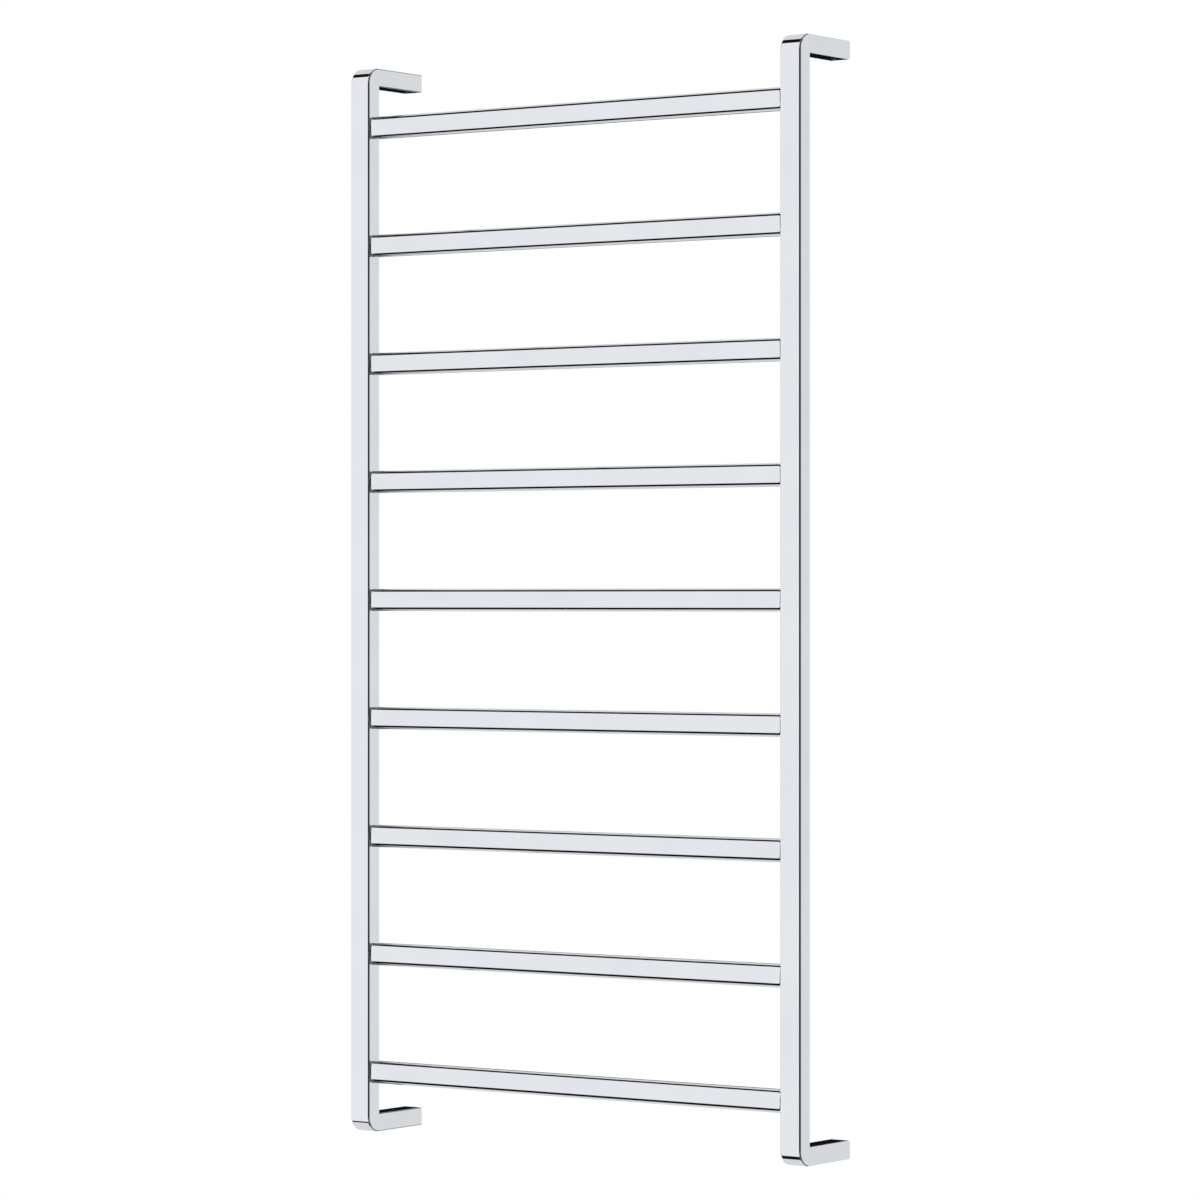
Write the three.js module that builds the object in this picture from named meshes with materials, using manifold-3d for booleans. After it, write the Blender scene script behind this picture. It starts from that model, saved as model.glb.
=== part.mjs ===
// Electric towel warmer rack: a wall-hung ladder of chromed rectangular tube.
//
// Two uprights are folded back to the wall at both ends, and nine rungs are welded between them.
// Each arm slides over a bracket on the wall and is locked by a grub screw from below. A heating
// cable runs through every rung, from the wiring in the lower right arm to a sealed end at the top.
//
// Frame: millimetres, X along the rungs, Z up, and the wall's face is the plane Y = 0, with the
// wall on its +Y side. The origin is on the wall's face at the middle of the rack.

import * as THREE from 'three';
import { mergeVertices } from 'three/addons/utils/BufferGeometryUtils.js';
import Module from 'manifold-3d';

const wasm = await Module();
wasm.setup();

// ---- Driving dimensions -------------------------------------------------------------------

const RACK_HEIGHT = 1200;
const INNER_WIDTH = 552;            // between the uprights, so also the length of a rung
const PROJECTION = 98;              // from the wall to the front of the uprights
const RUNG_COUNT = 9;
const RUNG_PITCH = 133;

const POST_WIDTH = 26;              // across the front of an upright
const POST_DEPTH = 20;              // front to back, and the height of an arm
const POST_WALL = 1.5;
const POST_EDGE_RADIUS = 2;
const POST_BORE_RADIUS = 0.6;
const BEND_RADIUS = 18;             // outside of the fold, where the upright turns into an arm

const RUNG_HEIGHT = 25;
const RUNG_DEPTH = 16;
const RUNG_WALL = 1.2;
const RUNG_CORNER_DEPTH = 6;        // a rung's corners are quarter ellipses
const RUNG_CORNER_HEIGHT = 10;
const RUNG_SET_BACK = 2;            // behind the front of the uprights

const FIT = 0.3;                    // clearance between pieces that slide or plug together
const WIRE_HOLE_DIAMETER = 10;

const BRACKET_LENGTH = 24;
const BRACKET_CORNER_RADIUS = 1;
const BRACKET_BORE_OFFSET = 6;      // the wall screw's bore, to the left of the arm's centre
const BRACKET_BORE_DIAMETER = 4.6;
const BRACKET_SINK_DIAMETER = 8;
const BRACKET_SINK_DEPTH = 16;
const PASSAGE_OFFSET = 5.2;         // the cable passage, to the right of the arm's centre
const PASSAGE_DIAMETER = 8;

const GRUB_DIAMETER = 5;
const GRUB_LENGTH = 5;
const GRUB_RECESS = 0.4;            // below the skin of the arm
const GRUB_DISTANCE = 12;           // from the wall
const HEX_SOCKET_FLATS = 2.5;
const HEX_SOCKET_DEPTH = 2.2;

const CABLE_DIAMETER = 4;
const CABLE_BEND_RADIUS = 10;
const LINK_BEND_RADIUS = 8;
const CABLE_TAIL = 30;              // past the top rung
const END_CAP_DIAMETER = 6.4;
const END_CAP_LENGTH = 18;

const CUTOUT_WIDTH = 8;
const CUTOUT_DEPTH = 6;
const CUTOUT_LENGTH = 20;
const CUTOUT_BASE = 24;             // above the underside of the lower arm

const JOINT_DIAMETER = 9;
const JOINT_LENGTH = 32;
const JOINT_DISTANCE = 30;          // from the wall
const JOINT_TAPER = 4;
const JOINT_NECK_DIAMETER = 6;

const GROMMET_FLANGE_DIAMETER = 10;
const GROMMET_FLANGE = 2;
const GROMMET_BODY = 11;

const EARTH_DISTANCE = 34;          // from the wall
const EARTH_OFFSET = 6;             // to the left of the arm's centre
const STUD_DIAMETER = 4;
const STUD_LENGTH = 9;
const NUT_FLATS = 7;
const NUT_HEIGHT = 3.2;
const NUT_TOP = 4;                  // below the inner face of the arm's upper wall
const RING_DIAMETER = 9;
const RING_THICKNESS = 0.8;
const BARREL_DIAMETER = 3.2;
const BARREL_LENGTH = 6;
const EARTH_LEAD_DIAMETER = 2.2;
const EARTH_LEAD_STRAIGHT = 5;      // out of the barrel, before it turns aside
const EARTH_LEAD_LOOP = 5;          // in front of the joint

const ARC_STEPS = 4;                // steps in a quarter turn of a large radius
const EDGE_STEPS = 2;               // steps in a quarter turn of a small one
const ROUND_SIDES = 16;             // sides of a hole, a screw or a sleeve
const CABLE_SIDES = 8;
const OVERRUN = 5;                  // how far a cutting tool runs past the face that it opens

// ---- Places worked out from them ----------------------------------------------------------

const HALF_HEIGHT = RACK_HEIGHT / 2;
const POST_CENTRE_X = INNER_WIDTH / 2 + POST_WIDTH / 2;
const POST_CENTRE_Y = -PROJECTION + POST_DEPTH / 2;
const ARM_CENTRE_Z = HALF_HEIGHT - POST_DEPTH / 2;
const RUNG_CENTRE_Y = -PROJECTION + RUNG_SET_BACK + RUNG_DEPTH / 2;
const BORE_WIDTH = POST_WIDTH - 2 * POST_WALL;
const BORE_DEPTH = POST_DEPTH - 2 * POST_WALL;
const TOP_RUNG_Z = (RUNG_PITCH * (RUNG_COUNT - 1)) / 2;

const PASSAGE_X = POST_CENTRE_X + PASSAGE_OFFSET;      // of the cable's vertical runs too
const CUTOUT_BOTTOM_Z = -HALF_HEIGHT + CUTOUT_BASE;
const CUTOUT_TOP_Z = CUTOUT_BOTTOM_Z + CUTOUT_LENGTH;
const CABLE_END_Z = TOP_RUNG_Z + CABLE_TAIL;
const JOINT_FRONT_Y = -JOINT_DISTANCE - JOINT_LENGTH;
const EARTH_X = POST_CENTRE_X - EARTH_OFFSET;
const ARM_CEILING_Z = -HALF_HEIGHT + POST_DEPTH - POST_WALL;
const BARREL_END_Y = -EARTH_DISTANCE - RING_DIAMETER / 2 - BARREL_LENGTH;
const BARREL_Z = ARM_CEILING_Z - NUT_TOP + FIT + RING_THICKNESS / 2;

// ---- Materials ------------------------------------------------------------------------------

function chromeFinish() {
  return new THREE.MeshStandardMaterial({ color: 0xdfe2e6, roughness: 0.06, metalness: 1 });
}

function steelFinish() {
  return new THREE.MeshStandardMaterial({ color: 0xa9abae, roughness: 0.35, metalness: 1 });
}

function zincFinish() {
  return new THREE.MeshStandardMaterial({ color: 0x8f9295, roughness: 0.5, metalness: 1 });
}

function brassFinish() {
  return new THREE.MeshStandardMaterial({ color: 0xc8a24a, roughness: 0.3, metalness: 1 });
}

function siliconeFinish() {
  return new THREE.MeshStandardMaterial({ color: 0x7d2f26, roughness: 0.6, metalness: 0 });
}

function rubberFinish() {
  return new THREE.MeshStandardMaterial({ color: 0x1d1d1f, roughness: 0.8, metalness: 0 });
}

function shrinkSleeveFinish() {
  return new THREE.MeshStandardMaterial({ color: 0x26282b, roughness: 0.45, metalness: 0 });
}

function earthLeadFinish() {
  return new THREE.MeshStandardMaterial({ color: 0x4f8f2f, roughness: 0.5, metalness: 0 });
}

function cutoutFinish() {
  return new THREE.MeshStandardMaterial({ color: 0xd9d4c4, roughness: 0.5, metalness: 0 });
}

// ---- Solids: from a three.js geometry to a manifold and back --------------------------------

function toSolid(geometry) {
  const bare = geometry.clone();
  for (const name of Object.keys(bare.attributes)) {
    if (name !== 'position') {
      bare.deleteAttribute(name);
    }
  }
  const merged = mergeVertices(bare, 1e-4);
  const vertProperties = new Float32Array(merged.attributes.position.array);
  const triVerts = new Uint32Array(merged.index.array);
  return new wasm.Manifold(new wasm.Mesh({ numProp: 3, vertProperties, triVerts }));
}

function toGeometry(solid) {
  const mesh = solid.getMesh();
  const geometry = new THREE.BufferGeometry();
  geometry.setAttribute('position', new THREE.BufferAttribute(new Float32Array(mesh.vertProperties), 3));
  geometry.setIndex(new THREE.BufferAttribute(new Uint32Array(mesh.triVerts), 1));
  geometry.computeVertexNormals();
  return geometry;
}

function cutAll(solid, tools) {
  return tools.reduce((left, tool) => left.subtract(tool), solid);
}

// ---- Outlines and basic shapes --------------------------------------------------------------

// A rounded rectangle about the origin, drawn anticlockwise. Its corners are quarter ellipses when
// they rise by more or less than they reach across.
function roundedRectangle(path, width, height, reach, rise = reach) {
  const x = width / 2 - reach;
  const y = height / 2 - rise;
  path.moveTo(width / 2, -y);
  path.lineTo(width / 2, y);
  path.absellipse(x, y, reach, rise, 0, Math.PI / 2, false);
  path.lineTo(-x, height / 2);
  path.absellipse(-x, y, reach, rise, Math.PI / 2, Math.PI, false);
  path.lineTo(-width / 2, -y);
  path.absellipse(-x, -y, reach, rise, Math.PI, 1.5 * Math.PI, false);
  path.lineTo(x, -height / 2);
  path.absellipse(x, -y, reach, rise, 1.5 * Math.PI, 2 * Math.PI, false);
  return path;
}

// Turns a shape's plane into the rack's Y-Z plane, so that it is extruded along X.
function alongX(geometry) {
  const turn = new THREE.Matrix4().makeBasis(
    new THREE.Vector3(0, 1, 0),
    new THREE.Vector3(0, 0, 1),
    new THREE.Vector3(1, 0, 0),
  );
  return geometry.applyMatrix4(turn);
}

// Turns a shape's plane into the rack's X-Z plane, so that it is extruded along -Y, off the wall.
function offTheWall(geometry) {
  return geometry.rotateX(Math.PI / 2);
}

// A round rod from one point to another.
function rod(diameter, from, to, sides = ROUND_SIDES) {
  const axis = new THREE.Vector3().subVectors(to, from);
  const geometry = new THREE.CylinderGeometry(diameter / 2, diameter / 2, axis.length(), sides);
  const middle = new THREE.Vector3().addVectors(from, to).multiplyScalar(0.5);
  const upright = new THREE.Vector3(0, 1, 0);
  geometry.applyQuaternion(new THREE.Quaternion().setFromUnitVectors(upright, axis.normalize()));
  return geometry.translate(middle.x, middle.y, middle.z);
}

// ---- Routes of the cable and the leads ------------------------------------------------------

// A curve that visits its points one by one, so that long straight runs take a single step.
class StepCurve extends THREE.Curve {
  constructor(points) {
    super();
    this.points = points;
  }

  getPointAt(u, target = new THREE.Vector3()) {
    const place = Math.round(u * (this.points.length - 1));
    return target.copy(this.points[place]);
  }

  getTangentAt(u, target = new THREE.Vector3()) {
    const last = this.points.length - 1;
    const place = Math.round(u * last);
    const before = this.points[place].clone().sub(this.points[Math.max(place - 1, 0)]).normalize();
    const after = this.points[Math.min(place + 1, last)].clone().sub(this.points[place]).normalize();
    return target.addVectors(before, after).normalize();
  }
}

// The corners of a route with each inner one rounded to a radius.
function roundedRoute(corners, radius) {
  const points = [corners[0]];
  for (let i = 1; i < corners.length - 1; i += 1) {
    const inward = new THREE.Vector3().subVectors(corners[i - 1], corners[i]).normalize();
    const outward = new THREE.Vector3().subVectors(corners[i + 1], corners[i]).normalize();
    const halfAngle = inward.angleTo(outward) / 2;
    const reach = radius / Math.tan(halfAngle);
    const start = corners[i].clone().addScaledVector(inward, reach);
    const bisector = new THREE.Vector3().addVectors(inward, outward).normalize();
    const centre = corners[i].clone().addScaledVector(bisector, radius / Math.sin(halfAngle));
    const spoke = new THREE.Vector3().subVectors(start, centre);
    const axis = new THREE.Vector3().crossVectors(outward, inward).normalize();
    const sweep = Math.PI - 2 * halfAngle;
    for (let step = 0; step <= ARC_STEPS; step += 1) {
      const angle = (sweep * step) / ARC_STEPS;
      points.push(centre.clone().add(spoke.clone().applyAxisAngle(axis, angle)));
    }
  }
  points.push(corners[corners.length - 1]);
  return points;
}

function tubeAlong(points, diameter) {
  const section = new THREE.Shape();
  for (let side = 0; side < CABLE_SIDES; side += 1) {
    const angle = (2 * Math.PI * side) / CABLE_SIDES;
    const x = (diameter / 2) * Math.cos(angle);
    const y = (diameter / 2) * Math.sin(angle);
    if (side === 0) {
      section.moveTo(x, y);
    } else {
      section.lineTo(x, y);
    }
  }
  return new THREE.ExtrudeGeometry(section, {
    steps: points.length - 1,
    extrudePath: new StepCurve(points),
    bevelEnabled: false,
  });
}

// ---- Uprights -------------------------------------------------------------------------------

// The side view of a folded upright, shrunk by an inset on every side: two arms that run past the
// wall's face and a post, with a rounded outer corner and a square inner corner at each fold.
function foldedOutline(inset) {
  const front = -PROJECTION + inset;
  const back = -PROJECTION + POST_DEPTH - inset;
  const end = OVERRUN;
  const top = HALF_HEIGHT - inset;
  const under = HALF_HEIGHT - POST_DEPTH + inset;
  const radius = BEND_RADIUS - inset;
  const outline = new THREE.Shape();
  outline.moveTo(end, top);
  outline.lineTo(front + radius, top);
  outline.absarc(front + radius, top - radius, radius, Math.PI / 2, Math.PI, false);
  outline.lineTo(front, -top + radius);
  outline.absarc(front + radius, -top + radius, radius, Math.PI, 1.5 * Math.PI, false);
  outline.lineTo(end, -top);
  outline.lineTo(end, -under);
  outline.lineTo(back, -under);
  outline.lineTo(back, under);
  outline.lineTo(end, under);
  return outline;
}

function foldedBar(inset, width, edgeRadius) {
  const geometry = new THREE.ExtrudeGeometry(foldedOutline(inset), {
    depth: width - 2 * edgeRadius,
    curveSegments: ARC_STEPS,
    bevelEnabled: true,
    bevelThickness: edgeRadius,
    bevelSize: edgeRadius,
    bevelOffset: -edgeRadius,
    bevelSegments: EDGE_STEPS,
  });
  return alongX(geometry.translate(0, 0, edgeRadius - width / 2));
}

// side is -1 for the left upright and 1 for the right one.
function upright(side) {
  const skin = toSolid(foldedBar(0, POST_WIDTH, POST_EDGE_RADIUS));
  const bore = toSolid(foldedBar(POST_WALL, BORE_WIDTH, POST_BORE_RADIUS));
  const wall = new THREE.BoxGeometry(2 * POST_WIDTH, 2 * OVERRUN, 2 * RACK_HEIGHT);
  const tools = [bore, toSolid(wall.translate(0, OVERRUN, 0))];
  for (let rung = 0; rung < RUNG_COUNT; rung += 1) {
    const z = TOP_RUNG_Z - rung * RUNG_PITCH;
    const inner = new THREE.Vector3(-side * (POST_WIDTH / 2 + OVERRUN), RUNG_CENTRE_Y, z);
    const middle = new THREE.Vector3(0, RUNG_CENTRE_Y, z);
    tools.push(toSolid(rod(WIRE_HOLE_DIAMETER, inner, middle)));
  }
  for (const level of [-1, 1]) {
    const underside = level * ARM_CENTRE_Z - POST_DEPTH / 2;
    const below = new THREE.Vector3(0, -GRUB_DISTANCE, underside - OVERRUN);
    const inside = new THREE.Vector3(0, -GRUB_DISTANCE, underside + OVERRUN);
    tools.push(toSolid(rod(GRUB_DIAMETER + 2 * FIT, below, inside)));
  }
  return toGeometry(cutAll(skin, tools));
}

// ---- Rungs ----------------------------------------------------------------------------------

function rungTube() {
  const section = roundedRectangle(
    new THREE.Shape(),
    RUNG_DEPTH,
    RUNG_HEIGHT,
    RUNG_CORNER_DEPTH,
    RUNG_CORNER_HEIGHT,
  );
  const bore = roundedRectangle(
    new THREE.Path(),
    RUNG_DEPTH - 2 * RUNG_WALL,
    RUNG_HEIGHT - 2 * RUNG_WALL,
    RUNG_CORNER_DEPTH - RUNG_WALL,
    RUNG_CORNER_HEIGHT - RUNG_WALL,
  );
  section.holes.push(bore);
  const geometry = new THREE.ExtrudeGeometry(section, {
    depth: INNER_WIDTH,
    curveSegments: ARC_STEPS,
    bevelEnabled: false,
  });
  return alongX(geometry.translate(0, 0, -INNER_WIDTH / 2));
}

// ---- Wall brackets and grub screws ----------------------------------------------------------

// Drawn about the centre line of its arm, with its back on the wall.
function wallBracket() {
  const section = roundedRectangle(
    new THREE.Shape(),
    BORE_WIDTH - 2 * FIT,
    BORE_DEPTH - 2 * FIT,
    BRACKET_CORNER_RADIUS,
  );
  const block = new THREE.ExtrudeGeometry(section, {
    depth: BRACKET_LENGTH,
    curveSegments: EDGE_STEPS,
    bevelEnabled: false,
  });
  const front = -BRACKET_LENGTH - OVERRUN;
  const boreX = -BRACKET_BORE_OFFSET;
  const screwBore = rod(
    BRACKET_BORE_DIAMETER,
    new THREE.Vector3(boreX, front, 0),
    new THREE.Vector3(boreX, OVERRUN, 0),
  );
  const headSink = rod(
    BRACKET_SINK_DIAMETER,
    new THREE.Vector3(boreX, front, 0),
    new THREE.Vector3(boreX, -BRACKET_LENGTH + BRACKET_SINK_DEPTH, 0),
  );
  const cablePassage = rod(
    PASSAGE_DIAMETER,
    new THREE.Vector3(PASSAGE_OFFSET, front, 0),
    new THREE.Vector3(PASSAGE_OFFSET, OVERRUN, 0),
  );
  const grubTip = -POST_DEPTH / 2 + GRUB_RECESS + GRUB_LENGTH + FIT;
  const grubSeat = rod(
    GRUB_DIAMETER + 2 * FIT,
    new THREE.Vector3(0, -GRUB_DISTANCE, -POST_DEPTH),
    new THREE.Vector3(0, -GRUB_DISTANCE, grubTip),
  );
  const tools = [screwBore, headSink, cablePassage, grubSeat].map(toSolid);
  return toGeometry(cutAll(toSolid(offTheWall(block)), tools));
}

// Upright, about its own axis, with the hexagon socket in its lower end.
function grubScrew() {
  const body = new THREE.CylinderGeometry(GRUB_DIAMETER / 2, GRUB_DIAMETER / 2, GRUB_LENGTH, ROUND_SIDES);
  const socketRadius = HEX_SOCKET_FLATS / Math.sqrt(3);
  const socket = new THREE.CylinderGeometry(socketRadius, socketRadius, 2 * HEX_SOCKET_DEPTH, 6);
  socket.translate(0, -GRUB_LENGTH / 2, 0);
  const screw = toSolid(body.rotateX(Math.PI / 2)).subtract(toSolid(socket.rotateX(Math.PI / 2)));
  return toGeometry(screw);
}

// ---- Heating cable and what is wired to it --------------------------------------------------

// Up the right upright, then to and fro through the rungs from the bottom to the top.
function heatingCable() {
  const corners = [new THREE.Vector3(PASSAGE_X, RUNG_CENTRE_Y, CUTOUT_TOP_Z + FIT)];
  let side = 1;
  for (let rung = RUNG_COUNT - 1; rung >= 0; rung -= 1) {
    const z = TOP_RUNG_Z - rung * RUNG_PITCH;
    corners.push(new THREE.Vector3(side * PASSAGE_X, RUNG_CENTRE_Y, z));
    corners.push(new THREE.Vector3(-side * PASSAGE_X, RUNG_CENTRE_Y, z));
    side = -side;
  }
  corners.push(new THREE.Vector3(-PASSAGE_X, RUNG_CENTRE_Y, CABLE_END_Z));
  return tubeAlong(roundedRoute(corners, CABLE_BEND_RADIUS), CABLE_DIAMETER);
}

function endCap() {
  const radius = END_CAP_DIAMETER / 2;
  const profile = new THREE.Path();
  profile.moveTo(0, 0);
  profile.lineTo(radius, 0);
  profile.lineTo(radius, END_CAP_LENGTH - radius);
  profile.absarc(0, END_CAP_LENGTH - radius, radius, 0, Math.PI / 2, false);
  const geometry = new THREE.LatheGeometry(profile.getPoints(ARC_STEPS), ROUND_SIDES);
  return geometry.rotateX(Math.PI / 2);
}

// A flat moulded body, drawn from its lower end.
function thermalCutout() {
  const section = roundedRectangle(new THREE.Shape(), CUTOUT_WIDTH, CUTOUT_DEPTH, BRACKET_CORNER_RADIUS);
  return new THREE.ExtrudeGeometry(section, {
    depth: CUTOUT_LENGTH,
    curveSegments: EDGE_STEPS,
    bevelEnabled: false,
  });
}

// From the joint, forward along the arm, round the fold and up to the cut-out.
function linkLead() {
  const corners = [
    new THREE.Vector3(PASSAGE_X, JOINT_FRONT_Y - FIT, -ARM_CENTRE_Z),
    new THREE.Vector3(PASSAGE_X, RUNG_CENTRE_Y, -ARM_CENTRE_Z),
    new THREE.Vector3(PASSAGE_X, RUNG_CENTRE_Y, CUTOUT_BOTTOM_Z - FIT),
  ];
  return tubeAlong(roundedRoute(corners, LINK_BEND_RADIUS), CABLE_DIAMETER);
}

// A shrunk sleeve with tapered ends, drawn forward from its wall end.
function jointSleeve() {
  const radius = JOINT_DIAMETER / 2;
  const neck = JOINT_NECK_DIAMETER / 2;
  const profile = [
    new THREE.Vector2(0, 0),
    new THREE.Vector2(neck, 0),
    new THREE.Vector2(radius, JOINT_TAPER),
    new THREE.Vector2(radius, JOINT_LENGTH - JOINT_TAPER),
    new THREE.Vector2(neck, JOINT_LENGTH),
    new THREE.Vector2(0, JOINT_LENGTH),
  ];
  return new THREE.LatheGeometry(profile, ROUND_SIDES).rotateX(Math.PI);
}

// Its flange bears on the front of the bracket and its body fills the cable passage.
function cableGrommet() {
  const bore = CABLE_DIAMETER / 2 + FIT;
  const body = PASSAGE_DIAMETER / 2 - FIT;
  const flange = GROMMET_FLANGE_DIAMETER / 2;
  const profile = [
    new THREE.Vector2(bore, -GROMMET_BODY),
    new THREE.Vector2(body, -GROMMET_BODY),
    new THREE.Vector2(body, FIT),
    new THREE.Vector2(flange, FIT),
    new THREE.Vector2(flange, FIT + GROMMET_FLANGE),
    new THREE.Vector2(bore, FIT + GROMMET_FLANGE),
    new THREE.Vector2(bore, -GROMMET_BODY),
  ];
  return new THREE.LatheGeometry(profile, ROUND_SIDES).rotateX(Math.PI);
}

// The stud and what it holds are drawn downward from the inner face of the arm's upper wall.
function earthStud() {
  return rod(STUD_DIAMETER, new THREE.Vector3(0, 0, 0), new THREE.Vector3(0, 0, -STUD_LENGTH));
}

function earthNut() {
  const outline = new THREE.Shape();
  for (let corner = 0; corner < 6; corner += 1) {
    const angle = (Math.PI * corner) / 3;
    const radius = NUT_FLATS / Math.sqrt(3);
    const x = radius * Math.cos(angle);
    const y = radius * Math.sin(angle);
    if (corner === 0) {
      outline.moveTo(x, y);
    } else {
      outline.lineTo(x, y);
    }
  }
  const bore = new THREE.Path();
  bore.absarc(0, 0, STUD_DIAMETER / 2 + FIT, 0, 2 * Math.PI, true);
  outline.holes.push(bore);
  const geometry = new THREE.ExtrudeGeometry(outline, {
    depth: NUT_HEIGHT,
    curveSegments: ROUND_SIDES,
    bevelEnabled: false,
  });
  return geometry.translate(0, 0, -NUT_TOP - NUT_HEIGHT);
}

// A flat ring with a crimped barrel that points away from the wall.
function earthRingTerminal() {
  const outline = new THREE.Shape();
  outline.absarc(0, 0, RING_DIAMETER / 2, 0, 2 * Math.PI, false);
  const bore = new THREE.Path();
  bore.absarc(0, 0, STUD_DIAMETER / 2 + FIT, 0, 2 * Math.PI, true);
  outline.holes.push(bore);
  const ring = new THREE.ExtrudeGeometry(outline, {
    depth: RING_THICKNESS,
    curveSegments: ROUND_SIDES,
    bevelEnabled: false,
  });
  ring.translate(0, 0, -NUT_TOP + FIT);
  const z = -NUT_TOP + FIT + RING_THICKNESS / 2;
  const start = new THREE.Vector3(0, -RING_DIAMETER / 2 + RING_THICKNESS, z);
  const end = new THREE.Vector3(0, -RING_DIAMETER / 2 - BARREL_LENGTH, z);
  return toGeometry(toSolid(ring).add(toSolid(rod(BARREL_DIAMETER, start, end))));
}

// From the barrel forward, and in a loop to the right and down to the front of the joint.
function earthLead() {
  const radius = EARTH_LEAD_DIAMETER / 2;
  const loopY = JOINT_FRONT_Y - EARTH_LEAD_LOOP;
  const besideJoint = PASSAGE_X - JOINT_DIAMETER / 2 - radius;
  const aboveLink = -ARM_CENTRE_Z + CABLE_DIAMETER / 2 + 2 * radius;
  const curve = new THREE.CatmullRomCurve3([
    new THREE.Vector3(EARTH_X, BARREL_END_Y - FIT, BARREL_Z),
    new THREE.Vector3(EARTH_X, BARREL_END_Y - EARTH_LEAD_STRAIGHT, BARREL_Z - FIT),
    new THREE.Vector3(EARTH_X + radius, loopY + 3 * radius, BARREL_Z - 3 * radius),
    new THREE.Vector3(besideJoint, loopY, -ARM_CENTRE_Z + radius),
    new THREE.Vector3(PASSAGE_X - 2 * radius, loopY + radius, aboveLink),
  ]);
  return tubeAlong(curve.getSpacedPoints(4 * ARC_STEPS), EARTH_LEAD_DIAMETER);
}

// ---- The rack -------------------------------------------------------------------------------

const rack = new THREE.Group();

function addPiece(parent, name, geometry, material, x, y, z) {
  const mesh = new THREE.Mesh(geometry, material);
  mesh.name = name;
  mesh.position.set(x, y, z);
  parent.add(mesh);
}

for (const [name, side] of [['left', -1], ['right', 1]]) {
  addPiece(rack, `${name}_upright`, upright(side), chromeFinish(), side * POST_CENTRE_X, 0, 0);
}

for (let rung = 0; rung < RUNG_COUNT; rung += 1) {
  const z = TOP_RUNG_Z - rung * RUNG_PITCH;
  addPiece(rack, `rung_${rung + 1}`, rungTube(), chromeFinish(), 0, RUNG_CENTRE_Y, z);
}

const fixings = new THREE.Group();
rack.add(fixings);

for (const [row, level] of [['upper', 1], ['lower', -1]]) {
  for (const [column, side] of [['left', -1], ['right', 1]]) {
    const corner = `${row}_${column}`;
    const x = side * POST_CENTRE_X;
    const armZ = level * ARM_CENTRE_Z;
    const grubZ = armZ - POST_DEPTH / 2 + GRUB_RECESS + GRUB_LENGTH / 2;
    addPiece(fixings, `wall_bracket_${corner}`, wallBracket(), zincFinish(), x, 0, armZ);
    addPiece(fixings, `grub_screw_${corner}`, grubScrew(), steelFinish(), x, -GRUB_DISTANCE, grubZ);
  }
}

const wiring = new THREE.Group();
rack.add(wiring);

addPiece(wiring, 'heating_cable', heatingCable(), siliconeFinish(), 0, 0, 0);
addPiece(
  wiring,
  'cable_end_cap',
  endCap(),
  rubberFinish(),
  -PASSAGE_X,
  RUNG_CENTRE_Y,
  CABLE_END_Z + FIT,
);
addPiece(
  wiring,
  'thermal_cutout',
  thermalCutout(),
  cutoutFinish(),
  PASSAGE_X,
  RUNG_CENTRE_Y,
  CUTOUT_BOTTOM_Z,
);
addPiece(wiring, 'link_lead', linkLead(), siliconeFinish(), 0, 0, 0);
addPiece(
  wiring,
  'cold_joint_sleeve',
  jointSleeve(),
  shrinkSleeveFinish(),
  PASSAGE_X,
  -JOINT_DISTANCE,
  -ARM_CENTRE_Z,
);
addPiece(
  wiring,
  'cable_grommet',
  cableGrommet(),
  rubberFinish(),
  PASSAGE_X,
  -BRACKET_LENGTH,
  -ARM_CENTRE_Z,
);
addPiece(wiring, 'earth_stud', earthStud(), brassFinish(), EARTH_X, -EARTH_DISTANCE, ARM_CEILING_Z);
addPiece(wiring, 'earth_nut', earthNut(), brassFinish(), EARTH_X, -EARTH_DISTANCE, ARM_CEILING_Z);
addPiece(
  wiring,
  'earth_ring_terminal',
  earthRingTerminal(),
  brassFinish(),
  EARTH_X,
  -EARTH_DISTANCE,
  ARM_CEILING_Z,
);
addPiece(wiring, 'earth_lead', earthLead(), earthLeadFinish(), 0, 0, 0);

export default rack;
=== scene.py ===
"""Looks for the towel warmer rack: a chromed ladder rail on its wall brackets, with its wiring.

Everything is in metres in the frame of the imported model: X along the rungs, Z up, and the wall's
face is the plane Y = 0, with the wall on its +Y side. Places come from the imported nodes' boxes.
"""
import math

import bmesh
import bpy
from mathutils import Matrix, Vector


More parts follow.
